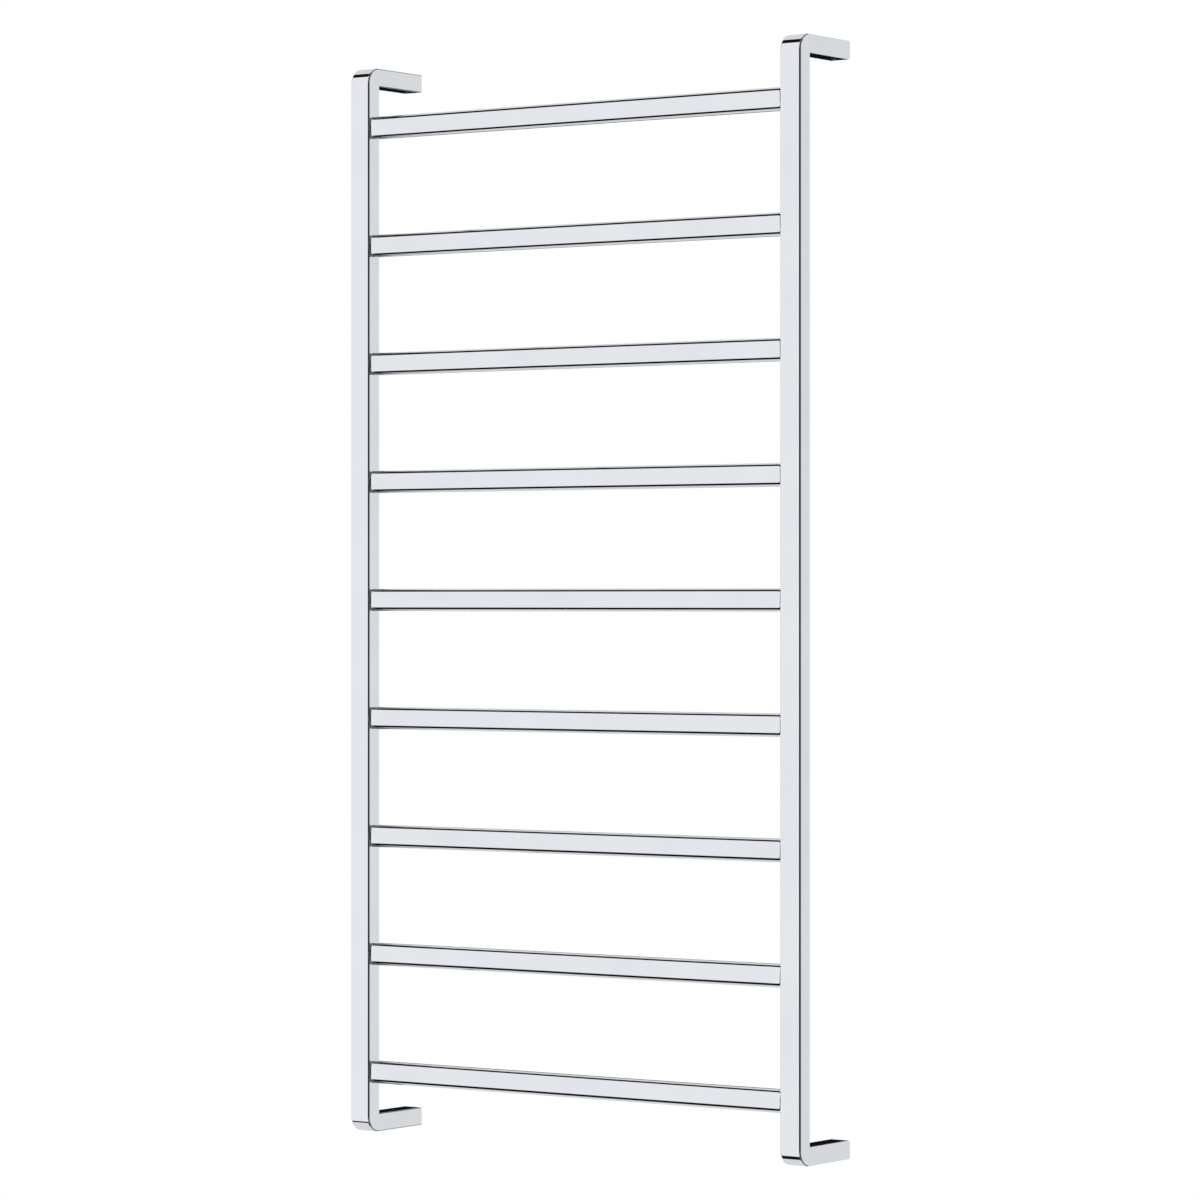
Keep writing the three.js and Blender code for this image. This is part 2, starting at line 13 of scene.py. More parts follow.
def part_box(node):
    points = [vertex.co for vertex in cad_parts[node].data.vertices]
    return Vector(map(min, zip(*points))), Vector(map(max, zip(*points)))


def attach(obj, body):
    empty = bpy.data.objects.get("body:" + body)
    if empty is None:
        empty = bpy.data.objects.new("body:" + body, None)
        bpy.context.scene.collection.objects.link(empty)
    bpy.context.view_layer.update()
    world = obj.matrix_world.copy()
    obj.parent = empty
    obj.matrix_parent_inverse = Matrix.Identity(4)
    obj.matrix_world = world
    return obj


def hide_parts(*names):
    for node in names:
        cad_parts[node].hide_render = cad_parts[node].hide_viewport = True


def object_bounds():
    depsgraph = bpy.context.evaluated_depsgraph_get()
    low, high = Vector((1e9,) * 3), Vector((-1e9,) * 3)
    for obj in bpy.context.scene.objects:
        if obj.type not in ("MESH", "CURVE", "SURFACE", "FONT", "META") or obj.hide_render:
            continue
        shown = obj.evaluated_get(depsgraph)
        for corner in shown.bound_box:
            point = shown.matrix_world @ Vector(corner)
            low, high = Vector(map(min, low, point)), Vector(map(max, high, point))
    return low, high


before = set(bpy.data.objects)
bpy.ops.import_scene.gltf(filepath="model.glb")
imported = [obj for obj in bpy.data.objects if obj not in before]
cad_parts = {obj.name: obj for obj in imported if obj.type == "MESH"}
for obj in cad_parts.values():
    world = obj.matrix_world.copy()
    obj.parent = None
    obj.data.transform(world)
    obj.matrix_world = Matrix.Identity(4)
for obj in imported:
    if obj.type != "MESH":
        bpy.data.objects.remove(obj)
cad_low, cad_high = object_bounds()

# ---- Sizes that the nodes' boxes don't give ----

POST_DEPTH = 0.020           # front to back, and the height of an arm
POST_WALL = 0.0015
POST_EDGE_RADIUS = 0.002
POST_BORE_RADIUS = 0.0006
BEND_RADIUS = 0.018          # outside of the fold, where an upright turns into an arm
RUNG_WALL = 0.0012
RUNG_CORNER_DEPTH = 0.006    # the corners of a rung are quarter ellipses
RUNG_CORNER_HEIGHT = 0.010
FILLET_LENGTH = 0.0030       # of the weld at each end of a rung, along the rung
FILLET_HEIGHT = 0.0014
WIRE_HOLE_RADIUS = 0.005
GRUB_HOLE_RADIUS = 0.0028
FIT = 0.0003                 # clearance between pieces that plug together

BRACKET_CORNER_RADIUS = 0.001
BRACKET_CHAMFER = 0.0004
BRACKET_BORE_OFFSET = 0.006  # the wall screw's bore, to the left of the arm's centre
BRACKET_BORE_RADIUS = 0.0023
BRACKET_SINK_RADIUS = 0.004
BRACKET_SINK_DEPTH = 0.016
PASSAGE_OFFSET = 0.0052      # the cable passage, to the right of the arm's centre
PASSAGE_RADIUS = 0.004
HEX_SOCKET_FLATS = 0.0025
HEX_SOCKET_DEPTH = 0.0022
THREAD_PITCH = 0.0008
THREAD_DEPTH = 0.0003

CABLE_RADIUS = 0.002
CABLE_BEND_RADIUS = 0.010
LINK_BEND_RADIUS = 0.008
CAP_BEAD = 0.0004
MOULD_RADIUS = 0.001
MOULD_EDGE = 0.0006
SLEEVE_THICKNESS = 0.001
SLEEVE_TAPER = 0.005
SLEEVE_WAIST = 0.0006
GROMMET_FLANGE = 0.002
GROMMET_ROUND = 0.0006
STUD_RADIUS = 0.002
NUT_SHOULDER = 0.96          # of half the flats: where the turned corners meet the face
NUT_CHAMFER_SLOPE = 0.58
RING_THICKNESS = 0.0008
RING_ROUND = 0.0002
BARREL_RADIUS = 0.0016
CRIMP_DEPTH = 0.0004
CRIMP_WIDTH = 0.0012
EARTH_LEAD_RADIUS = 0.0011
EARTH_LEAD_START = (0, -0.0047, -0.0005)       # from the barrel to the end of the straight run
EARTH_LEAD_TURN = (0.0015, -0.002, -0.003)     # from the barrel, the joint's front and the barrel
EARTH_LEAD_LOOP = (0.0056, -0.005, 0.001)      # from the barrel, the joint's front and its middle
EARTH_LEAD_END = (-0.002, -0.004, 0.004)       # from the passage, the joint's front and its middle

EDGE_STEPS = 10              # steps round a quarter of a small radius
BEND_STEPS = 40              # steps round a fold
QUARTER = [math.pi / 2 * step / EDGE_STEPS for step in range(EDGE_STEPS + 1)]
SLEEVE_STEPS = 48            # steps along the sleeve
ROUND_SIDES = 48
CABLE_SIDES = 20
OVERRUN = 0.005              # how far a cutting tool runs past the face that it opens
WELD = 1e-7                  # points closer than this are one point
SMOOTH_LIMIT = math.radians(12)  # a face this close to the true surface takes its normals

CAMERA_AZIMUTH = math.radians(35.29)
CAMERA_DISTANCE = 5.216      # to the plane of the uprights' fronts, along the line of sight
CAMERA_ASIDE = 0.035         # the line of sight passes this far to the right of the middle
CAMERA_LENS = 143.2
SENSOR_WIDTH = 36.0

FLOOR_DROP = 0.65            # the floor, below the lowest point of the rack
FLOOR_RADIUS = 4.0
FLOOR_FADE = (1.0, 3.6)      # distances from its middle
FLOOR_SPECKLE = 40.0
FLOOR_DARK = (0.80, 0.80, 0.80)
FLOOR_PALE = (0.86, 0.86, 0.86)
WHITE = (1.0, 1.0, 1.0)
LAMP_SIZE = 2.5
KEY_LAMP = (-30, 35, 60)     # azimuth and elevation in degrees, power in watts
FILL_LAMP = (60, 20, 30)
LAMP_DISTANCE = 4.0
CARD_DISTANCE = 0.02         # from a lower fold
CARD_POWER = math.pi         # to a square metre, for a radiance of one
FOLD_CARDS = {"left": (24.3, 33.4), "right": (19.0, 21.3)}  # slopes that reflect a card, in degrees

CHROME_BRIGHT = (0.93, 0.935, 0.945)
CHROME_DULL = (0.90, 0.905, 0.92)
CHROME_CLOUDS = 14.0         # patches to a metre
CHROME_ROUGHNESS = (0.02, 0.06)
CHROME_WAVES = 30.0          # waves of the tube's wall to a metre
CHROME_WAVE_HEIGHT = 0.00001
CHROME_LINE_HEIGHT = 0.0000004
RUN_GRAIN = 40.0             # polishing lines to a metre, along and across the tube
CROSS_GRAIN = 4000.0

# The other materials. Scales are features to a metre, reliefs are heights in metres.
PATCHY = (0.35, 0.7)         # the part of a noise over which two colours or finishes blend
EVEN = (0.3, 0.7)
SPARSE = (0.45, 0.75)
POLISHED = (0.1, 0.5)
ZINC_GRAIN = 2600.0
ZINC_FLOW = (220.0, 60.0, 220.0)
ZINC_DARK = (0.36, 0.37, 0.385)
ZINC_PALE = (0.56, 0.57, 0.59)
ZINC_RELIEF = 0.00006
STEEL_RINGS = (90.0, 90.0, 9000.0)
STEEL_SMEARS = 700.0
STEEL_DARK = (0.42, 0.42, 0.43)
STEEL_PALE = (0.66, 0.66, 0.67)
BRASS_PATCHES = 420.0
BRASS_LINES = (500.0, 500.0, 6000.0)
BRASS_BRIGHT = (0.80, 0.58, 0.24)
BRASS_TARNISHED = (0.47, 0.30, 0.11)
METAL_RELIEF = 0.00002
SILICONE_TALC = 900.0
SILICONE_MARKS = (25.0, 2500.0, 2500.0)
SILICONE_RED = (0.22, 0.035, 0.025)
SILICONE_DUSTED = (0.36, 0.13, 0.10)
RUBBER_GRAIN = 5200.0
RUBBER_BLOOM = 300.0
RUBBER_BLACK = (0.010, 0.010, 0.011)
RUBBER_GREY = (0.035, 0.035, 0.036)
SLEEVE_CREASES = (900.0, 90.0, 900.0)
SLEEVE_MOTTLE = 500.0
SLEEVE_DARK = (0.012, 0.012, 0.014)
SLEEVE_PALE = (0.030, 0.030, 0.034)
SLEEVE_RELIEF = 0.00012
BODY_MOTTLE = 350.0
BODY_TEXTURE = 4800.0
BODY_DARK = (0.66, 0.61, 0.50)
BODY_PALE = (0.76, 0.72, 0.62)
EARTH_WEAR = 2500.0
EARTH_GREEN = (0.035, 0.22, 0.05)
EARTH_YELLOW = (0.80, 0.62, 0.03)
STRIPE_TURNS = 60.0          # of the earth lead's stripe to a metre
STRIPE_START = (0.03, 0.05)  # parts of a turn over which the stripe begins and ends
STRIPE_END = (0.37, 0.39)
STRIPE_WOBBLE = 0.04

# What reflections see. A patch is limited by azimuth, from the front of the rack towards its right,
# by elevation, by roll about the rungs, from the front up and over to the back, or by the sideways
# part of the direction. Angles are in degrees, and later patches cover earlier ones. The dim fill comes
# first: it keeps the fronts from turning black in views from the left and from above.
ROOM_COLOUR = (0.006, 0.006, 0.007)
FRONT_LIGHT = (0.838, 0.861, 0.893)
OVERHEAD_LIGHT = (0.72, 0.725, 0.745)
BACK_LIGHT = (0.73, 0.75, 0.76)
LEFT_LIGHT = (0.62, 0.64, 0.66)
SIDE_LIGHT = (0.12, 0.123, 0.13)
FILL_LIGHT = (0.10, 0.102, 0.107)
STUDIO_PATCHES = [
    ({"azimuth": (-14, 125), "elevation": (9.5, 80)}, FILL_LIGHT),
    ({"azimuth": (-14, 125), "elevation": (-80, -9.5)}, FILL_LIGHT),
    ({"roll": (-80, -44), "aside": (-0.42, 1.1)}, FILL_LIGHT),
    ({"roll": (52, 90), "aside": (-0.42, 1.1)}, FILL_LIGHT),
    ({"roll": (86, 130), "aside": (-1.1, 0.1)}, OVERHEAD_LIGHT),
    ({"roll": (130, 168), "aside": (-1.1, -0.45)}, OVERHEAD_LIGHT),
    ({"roll": (-130, -75), "aside": (-1.1, 0.1)}, OVERHEAD_LIGHT),
    ({"roll": (-168, -130), "aside": (-1.1, -0.45)}, OVERHEAD_LIGHT),
    ({"azimuth": (-100, -14), "roll": (-46, 57.5)}, FRONT_LIGHT),
    ({"azimuth": (-132, -100), "elevation": (-14, 14)}, LEFT_LIGHT),
    ({"azimuth": (112, 200), "elevation": (-20, 20)}, BACK_LIGHT),
    ({"azimuth": (120, 200), "elevation": (-36, 36)}, BACK_LIGHT),
    ({"azimuth": (-200, -160), "elevation": (-36, 36)}, BACK_LIGHT),
    ({"azimuth": (50, 60), "elevation": (-14, 14)}, SIDE_LIGHT),
    ({"azimuth": (84, 96), "elevation": (-14, 14)}, SIDE_LIGHT),
]
SOFTNESS = {"azimuth": 1.5, "elevation": 1.5, "roll": 1.0, "aside": 0.03}

# ---- Places worked out from the frame ----------

left_low, left_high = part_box("left_upright")
POST_WIDTH = left_high.x - left_low.x
POST_CENTRE_X = -(left_low.x + left_high.x) / 2
FRONT_Y = left_low.y
BACK_Y = FRONT_Y + POST_DEPTH
TOP_Z = left_high.z
UNDER_Z = TOP_Z - POST_DEPTH
ARM_CENTRE_Z = TOP_Z - POST_DEPTH / 2
PASSAGE_X = POST_CENTRE_X + PASSAGE_OFFSET  # of the cable's vertical runs too

RUNG_NAMES = [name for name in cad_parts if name.startswith("rung_")]
RUNG_NAMES.sort()
rung_low, rung_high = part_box("rung_1")
RUNG_DEPTH = rung_high.y - rung_low.y
RUNG_HEIGHT = rung_high.z - rung_low.z
RUNG_CENTRE_Y = (rung_low.y + rung_high.y) / 2
RUNG_END_X = rung_high.x
RUNG_LEVELS = [(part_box(name)[0].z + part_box(name)[1].z) / 2 for name in RUNG_NAMES]

SIDES = {"left": -1, "right": 1}
ROWS = {"upper": 1, "lower": -1}


# ---- Pieces that stand for CAD nodes -----------


def box_of(node):
    low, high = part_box(node)
    return low, high, (low + high) / 2


def plain_object(name, bm):
    mesh = bpy.data.meshes.new(name)
    bm.to_mesh(mesh)
    bm.free()
    thing = bpy.data.objects.new(name, mesh)
    bpy.context.scene.collection.objects.link(thing)
    return thing


def combine(thing, tools, operation="DIFFERENCE"):
    """Cuts closed meshes away from an object's mesh, or joins them to it."""
    joined = bmesh.new()
    for tool in tools:
        part = bpy.data.meshes.new("tool")
        tool.to_mesh(part)
        tool.free()
        joined.from_mesh(part)
        bpy.data.meshes.remove(part)
    cutter = plain_object("cutter", joined)
    modifier = thing.modifiers.new("cut", "BOOLEAN")
    modifier.operation = operation
    modifier.solver = "EXACT"
    modifier.object = cutter
    graph = bpy.context.evaluated_depsgraph_get()
    result = bpy.data.meshes.new_from_object(thing.evaluated_get(graph))
    thing.modifiers.clear()
    old = thing.data
    thing.data = result
    bpy.data.meshes.remove(old)
    cutter_mesh = cutter.data
    bpy.data.objects.remove(cutter)
    bpy.data.meshes.remove(cutter_mesh)


def shade(thing, true_normal):
    """Gives each corner of each face the normal of the true surface there, unless the face turns
    away from it, as at a sharp edge."""
    mesh = thing.data
    mesh.shade_smooth()
    normals = []
    for face in mesh.polygons:
        for corner in face.loop_indices:
            point = mesh.vertices[mesh.loops[corner].vertex_index].co
            normal = true_normal(point, face.normal)
            if normal is None or normal.angle(face.normal, math.pi) > SMOOTH_LIMIT:
                normal = face.normal
            normals.append(tuple(normal))
    mesh.normals_split_custom_set(normals)


def finish_piece(thing, material, slot_name, *nodes):
    thing.data.materials.clear()
    thing.data.materials.append(material)
    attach(thing, "root")
    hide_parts(*nodes)


def finish_by_angle(thing, material, slot_name, node, angle=30):
    """Finishes a piece whose edges look sharp where its faces meet at more than an angle."""
    thing.data.shade_smooth()
    thing.data.set_sharp_from_angle(angle=math.radians(angle))
    finish_piece(thing, material, slot_name, node)


# ---- Mesh shapes -------------------------------


def bridge(bm, ring_a, ring_b):
    """Joins two closed rings of as many points by a band of faces."""
    count = len(ring_a)
    for i in range(count):
        j = (i + 1) % count
        bm.faces.new((ring_a[i], ring_a[j], ring_b[j], ring_b[i]))


def rounded_rectangle(width, height, radius, steps, rise=None):
    """Points of a rounded rectangle about the origin, anticlockwise from the right-hand side. With a
    rise, its corners are quarter ellipses of that height."""
    rise = radius if rise is None else rise
    points = []
    for turn in range(4):
        sign_x = 1 if turn in (0, 3) else -1
        sign_y = 1 if turn in (0, 1) else -1
        for step in range(steps + 1):
            angle = math.pi / 2 * (turn + step / steps)
            x = sign_x * (width / 2 - radius) + radius * math.cos(angle)
            y = sign_y * (height / 2 - rise) + rise * math.sin(angle)
            points.append((x, y))
    return points


def rod(radius, start, end, sides=ROUND_SIDES, end_radius=None):
    """A closed round rod or cone from one point to another."""
    start = Vector(start)
    end = Vector(end)
    bm = bmesh.new()
    bmesh.ops.create_cone(
        bm,
        cap_ends=True,
        segments=sides,
        radius1=radius,
        radius2=radius if end_radius is None else end_radius,
        depth=(end - start).length,
    )
    turn = Vector((0, 0, 1)).rotation_difference(end - start).to_matrix().to_4x4()
    bm.transform(Matrix.Translation((start + end) / 2) @ turn)
    return bm


def lathe(profile, origin, axis, sides=ROUND_SIDES):
    """Turns (radius, distance along the axis) points about an axis. A profile that doesn't start and
    end on the axis closes on itself."""
    bm = bmesh.new()
    axis = Vector(axis).normalized()
    turn = Vector((0, 0, 1)).rotation_difference(axis).to_matrix()
    rings = []
    for radius, along in profile:
        if radius == 0:
            rings.append([bm.verts.new(Vector(origin) + turn @ Vector((0, 0, along)))])
            continue
        ring = []
        for side in range(sides):
            angle = 2 * math.pi * side / sides
            spoke = Vector((radius * math.cos(angle), radius * math.sin(angle), along))
            ring.append(bm.verts.new(Vector(origin) + turn @ spoke))
        rings.append(ring)
    pairs = list(zip(rings, rings[1:]))
    if len(rings[0]) > 1:
        pairs.append((rings[-1], rings[0]))
    for lower, upper in pairs:
        if len(lower) > 1 and len(upper) > 1:
            bridge(bm, lower, upper)
            continue
        tip, ring = (lower[0], upper) if len(lower) == 1 else (upper[0], lower)
        for i in range(sides):
            bm.faces.new((tip, ring[i], ring[(i + 1) % sides]))
    bmesh.ops.recalc_face_normals(bm, faces=bm.faces)
    return bm


def thread(radius, start, end):
    """The profile of a thread, as rings, from one distance to another."""
    profile = [(radius - THREAD_DEPTH, start)]
    for turn in range(int((end - start) / THREAD_PITCH)):
        crest = start + (turn + 0.5) * THREAD_PITCH
        profile.append((radius, crest))
        profile.append((radius - THREAD_DEPTH, crest + THREAD_PITCH / 2))
    return profile


def rounded_block(low, high, along, corner_radius, edge_radius):
    """A block between two corners, with rounded corners along one axis and rounded edges at its ends."""
    wide, tall = [axis for axis in range(3) if axis != along]
    size = high - low
    middle = (low + high) / 2
    ends = [(edge_radius * (1 - math.sin(angle)), edge_radius * (1 - math.cos(angle))) for angle in QUARTER]
    stations = [(low[along] + depth, inset) for inset, depth in ends]
    stations += [(high[along] - depth, inset) for inset, depth in reversed(ends)]
    bm = bmesh.new()
    rings = []
    for place, inset in stations:
        width = size[wide] - 2 * inset
        height = size[tall] - 2 * inset
        ring = []
        for across, up in rounded_rectangle(width, height, corner_radius - inset, EDGE_STEPS):
            point = middle.copy()
            point[along] = place
            point[wide] += across
            point[tall] += up
            ring.append(bm.verts.new(point))
        rings.append(ring)
    for ring_a, ring_b in zip(rings, rings[1:]):
        bridge(bm, ring_a, ring_b)
    bm.faces.new(rings[0])
    bm.faces.new(rings[-1])
    bmesh.ops.recalc_face_normals(bm, faces=bm.faces)
    return bm


def shifted(x, y, z, shift):
    return Vector((x + shift[0], y + shift[1], z + shift[2]))


def smooth_curve(knots, steps):
    """Points along a smooth curve through knots."""
    points = []
    padded = [2 * knots[0] - knots[1], *knots, 2 * knots[-1] - knots[-2]]
    for a, b, c, d in zip(padded, padded[1:], padded[2:], padded[3:]):
        for step in range(steps):
            t = step / steps
            drift = (c - a) * t + (2 * a - 5 * b + 4 * c - d) * t**2 + (3 * b - a - 3 * c + d) * t**3
            points.append(b + drift / 2)
    points.append(knots[-1])
    return points


def rounded_route(corners, radius, steps=8):
    """The corners of a route with each inner one rounded to a radius."""
    corners = [Vector(corner) for corner in corners]
    points = [corners[0]]
    for before, corner, after in zip(corners, corners[1:], corners[2:]):
        inward = (before - corner).normalized()
        outward = (after - corner).normalized()
        half_angle = inward.angle(outward) / 2
        start = corner + inward * (radius / math.tan(half_angle))
        centre = corner + (inward + outward).normalized() * (radius / math.sin(half_angle))
        axis = outward.cross(inward).normalized()
        sweep = math.pi - 2 * half_angle
        for step in range(steps + 1):
            points.append(centre + Matrix.Rotation(sweep * step / steps, 3, axis) @ (start - centre))
    points.append(corners[-1])
    return points


def tube_along(points, radius, sides=CABLE_SIDES):
    """A closed round tube along points, with a UV map: round it, and along it in metres."""
    bm = bmesh.new()
    uv = bm.loops.layers.uv.new("UVMap")
    spoke = None
    rings = []
    lengths = [0.0]
    last = len(points) - 1
    for i, point in enumerate(points):
        ahead = (points[min(i + 1, last)] - point).normalized()
        behind = (point - points[max(i - 1, 0)]).normalized()
        tangent = (ahead + behind).normalized()
        if spoke is None:
            spoke = tangent.orthogonal().normalized()
        spoke = (spoke - tangent * spoke.dot(tangent)).normalized()
        across = tangent.cross(spoke)
        ring = []
        for side in range(sides):
            angle = 2 * math.pi * side / sides
            offset = spoke * math.cos(angle) + across * math.sin(angle)
            ring.append(bm.verts.new(point + offset * radius))
        rings.append(ring)
        if i:
            lengths.append(lengths[-1] + (point - points[i - 1]).length)
    for i, (ring_a, ring_b) in enumerate(zip(rings, rings[1:])):
        for side in range(sides):
            other = (side + 1) % sides
            face = bm.faces.new((ring_a[side], ring_a[other], ring_b[other], ring_b[side]))
            turns = (side / sides, (side + 1) / sides)
            corners = [(turns[0], lengths[i]), (turns[1], lengths[i])]
            corners += [(turns[1], lengths[i + 1]), (turns[0], lengths[i + 1])]
            for loop, place in zip(face.loops, corners):
                loop[uv].uv = place
    bm.faces.new(list(reversed(rings[0])))
    bm.faces.new(rings[-1])
    return bm


# ---- Uprights ----------------------------------


def fold_stations(inset):
    """Pairs of points, outside and inside of the fold, from the upper wall end to the lower one, for a
    skin that lies an inset below the upright's own. The points are (y, z)."""
    radius = BEND_RADIUS - inset
    centre_y = FRONT_Y + BEND_RADIUS
    centre_z = TOP_Z - BEND_RADIUS
    inner_corner = (BACK_Y - inset, UNDER_Z + inset)
    upper = [((0.0, TOP_Z - inset), (0.0, UNDER_Z + inset))]
    for step in range(BEND_STEPS + 1):
        angle = math.pi / 2 * (1 + step / BEND_STEPS)
        outer = (centre_y + radius * math.cos(angle), centre_z + radius * math.sin(angle))
        upper.append((outer, inner_corner))
    lower = [((oy, -oz), (iy, -iz)) for (oy, oz), (iy, iz) in reversed(upper)]
    return upper + lower


def folded_skin(bm, inset, width, edge_radius):
    """One skin of a folded bar about X = 0, as a list of rings from wall end to wall end."""
    depths = [edge_radius * (1 - math.sin(angle)) for angle in QUARTER]
    widths = [width / 2 - edge_radius * (1 - math.cos(angle)) for angle in QUARTER]
    stations = [fold_stations(inset + depth) for depth in depths]
    rings = []
    for place in range(len(stations[0])):
        outer = [station[place][0] for station in stations]
        inner = [station[place][1] for station in stations]
        ring = [(x, *point) for x, point in zip(widths, outer)]
        ring += [(-x, *point) for x, point in reversed(list(zip(widths, outer)))]
        ring += [(-x, *point) for x, point in zip(widths, inner)]
        ring += [(x, *point) for x, point in reversed(list(zip(widths, inner)))]
        rings.append([bm.verts.new(point) for point in ring])
    for ring_a, ring_b in zip(rings, rings[1:]):
        bridge(bm, ring_a, ring_b)
    return rings


def upright_normal(point, face_normal):
    """The outward normal of the upright's outer surface, with its middle at X = 0."""
    across = POST_WIDTH / 2 - abs(point.x)
    side = math.copysign(1, point.x)
    level = math.copysign(1, point.z)
    y = point.y
    z = abs(point.z)
    bend_y = FRONT_Y + BEND_RADIUS
    bend_z = TOP_Z - BEND_RADIUS
    if y < bend_y and z > bend_z:
        spoke = Vector((y - bend_y, z - bend_z))
        outer_depth = BEND_RADIUS - spoke.length
        outer_way = spoke.normalized()
    elif y - FRONT_Y < TOP_Z - z:
        outer_depth = y - FRONT_Y
        outer_way = Vector((-1, 0))
    else:
        outer_depth = TOP_Z - z
        outer_way = Vector((0, 1))
    inner_depth = max(BACK_Y - y, z - UNDER_Z)
    inner_way = Vector((1, 0))
    if abs(face_normal.z) > abs(face_normal.y) or z - UNDER_Z > BACK_Y - y + WELD:
        inner_way = Vector((0, -1))
    depth, way = min(((outer_depth, outer_way), (inner_depth, inner_way)), key=lambda pair: pair[0])
    out = Vector((0, way.x, way.y * level))
    if across < POST_EDGE_RADIUS and depth < POST_EDGE_RADIUS:
        normal = out * (POST_EDGE_RADIUS - depth)
        normal.x = side * (POST_EDGE_RADIUS - across)
        return normal.normalized()
    return Vector((side, 0, 0)) if across < depth else out


def make_upright(hand, material):
    side = SIDES[hand]
    bm = bmesh.new()
    skin = folded_skin(bm, 0.0, POST_WIDTH, POST_EDGE_RADIUS)
    bore = folded_skin(bm, POST_WALL, POST_WIDTH - 2 * POST_WALL, POST_BORE_RADIUS)
    bridge(bm, skin[0], bore[0])
    bridge(bm, skin[-1], bore[-1])
    bmesh.ops.remove_doubles(bm, verts=bm.verts, dist=WELD)
    bmesh.ops.recalc_face_normals(bm, faces=bm.faces)
    post = plain_object(f"{hand}_upright_tube", bm)
    tools = []
    for z in RUNG_LEVELS:
        outside = (-side * (POST_WIDTH / 2 + OVERRUN), RUNG_CENTRE_Y, z)
        tools.append(rod(WIRE_HOLE_RADIUS, outside, (0, RUNG_CENTRE_Y, z)))
    for row, level in ROWS.items():
        low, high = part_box(f"grub_screw_{row}_{hand}")
        grub_y = (low.y + high.y) / 2
        underside = level * ARM_CENTRE_Z - POST_DEPTH / 2
        below = (0, grub_y, underside - OVERRUN)
        tools.append(rod(GRUB_HOLE_RADIUS, below, (0, grub_y, underside + OVERRUN)))
    combine(post, tools)
    shade(post, upright_normal)
    post.data.transform(Matrix.Translation((side * POST_CENTRE_X, 0, 0)))
    finish_piece(post, material, "chrome_tube", f"{hand}_upright")


# ---- Rungs -------------------------------------


def make_rung(name, level, material):
    """A rounded tube whose front and back flare into a fine weld fillet against the uprights."""
    bm = bmesh.new()
    along = [FILLET_LENGTH * (1 - math.cos(angle)) for angle in QUARTER]
    swell = [FILLET_HEIGHT * (1 - math.sin(angle)) for angle in QUARTER]
    stations = [(-RUNG_END_X + distance, grow) for distance, grow in zip(along, swell)]
    stations += [(RUNG_END_X - distance, grow) for distance, grow in reversed(list(zip(along, swell)))]

    def ring(x, grow, inset=0.0):
        depth = RUNG_DEPTH + 2 * (grow - inset)
        height = RUNG_HEIGHT - 2 * inset
        reach = RUNG_CORNER_DEPTH + grow - inset
        rise = RUNG_CORNER_HEIGHT - inset
        outline = rounded_rectangle(depth, height, reach, 2 * EDGE_STEPS, rise)
        return [bm.verts.new((x, RUNG_CENTRE_Y + y, level + z)) for y, z in outline]

    skin = [ring(x, grow) for x, grow in stations]
    bore = [ring(x, 0.0, inset=RUNG_WALL) for x in (-RUNG_END_X, RUNG_END_X)]
    for ring_a, ring_b in zip(skin, skin[1:]):
        bridge(bm, ring_a, ring_b)
    bridge(bm, bore[0], bore[1])
    bridge(bm, skin[0], bore[0])
    bridge(bm, skin[-1], bore[-1])
    bmesh.ops.recalc_face_normals(bm, faces=bm.faces)
    rung = plain_object(f"{name}_tube", bm)

    def rung_normal(point, face_normal):
        core_y = RUNG_DEPTH / 2 - RUNG_CORNER_DEPTH
        core_z = RUNG_HEIGHT / 2 - RUNG_CORNER_HEIGHT
        y = point.y - RUNG_CENTRE_Y
        z = point.z - level
        out_y = (y - max(-core_y, min(core_y, y))) / RUNG_CORNER_DEPTH**2
        out_z = (z - max(-core_z, min(core_z, z))) / RUNG_CORNER_HEIGHT**2
        out = Vector((0, out_y, out_z)).normalized()
        if out.dot(face_normal) < 0:
            return -out
        across = 1 - (RUNG_END_X - abs(point.x)) / FILLET_LENGTH
        if across > 0:
            slope = FILLET_HEIGHT / FILLET_LENGTH * across / math.sqrt(max(1 - across**2, WELD))
            out.x = -math.copysign(slope * abs(out.y), point.x)
            out.normalize()
        return out

    shade(rung, rung_normal)
    finish_piece(rung, material, "chrome_tube", name)


# ---- Wall brackets and grub screws -------------


def make_bracket(row, hand, material):
    node = f"wall_bracket_{row}_{hand}"
    low, high, middle = box_of(node)
    block = rounded_block(low, high, 1, BRACKET_CORNER_RADIUS, BRACKET_CHAMFER)
    bracket = plain_object(f"{node}_casting", block)
    front = low.y - OVERRUN
    sink_end = low.y + BRACKET_SINK_DEPTH
    bore_x = middle.x - BRACKET_BORE_OFFSET
    passage_x = middle.x + PASSAGE_OFFSET
    grub_low, grub_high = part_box(f"grub_screw_{row}_{hand}")
    grub_y = (grub_low.y + grub_high.y) / 2
    grub_end = grub_high.z + FIT
    bore = rod(BRACKET_BORE_RADIUS, (bore_x, sink_end - OVERRUN, middle.z), (bore_x, OVERRUN, middle.z))
    passage = rod(PASSAGE_RADIUS, (passage_x, front, middle.z), (passage_x, OVERRUN, middle.z))
    grub_seat = rod(GRUB_HOLE_RADIUS, (middle.x, grub_y, low.z - OVERRUN), (middle.x, grub_y, grub_end))
    sink = rod(BRACKET_SINK_RADIUS, (bore_x, front, middle.z), (bore_x, sink_end, middle.z))
    for tool in (bore, passage, grub_seat, sink):
        combine(bracket, [tool])
    finish_by_angle(bracket, material, "cast_bracket", node)


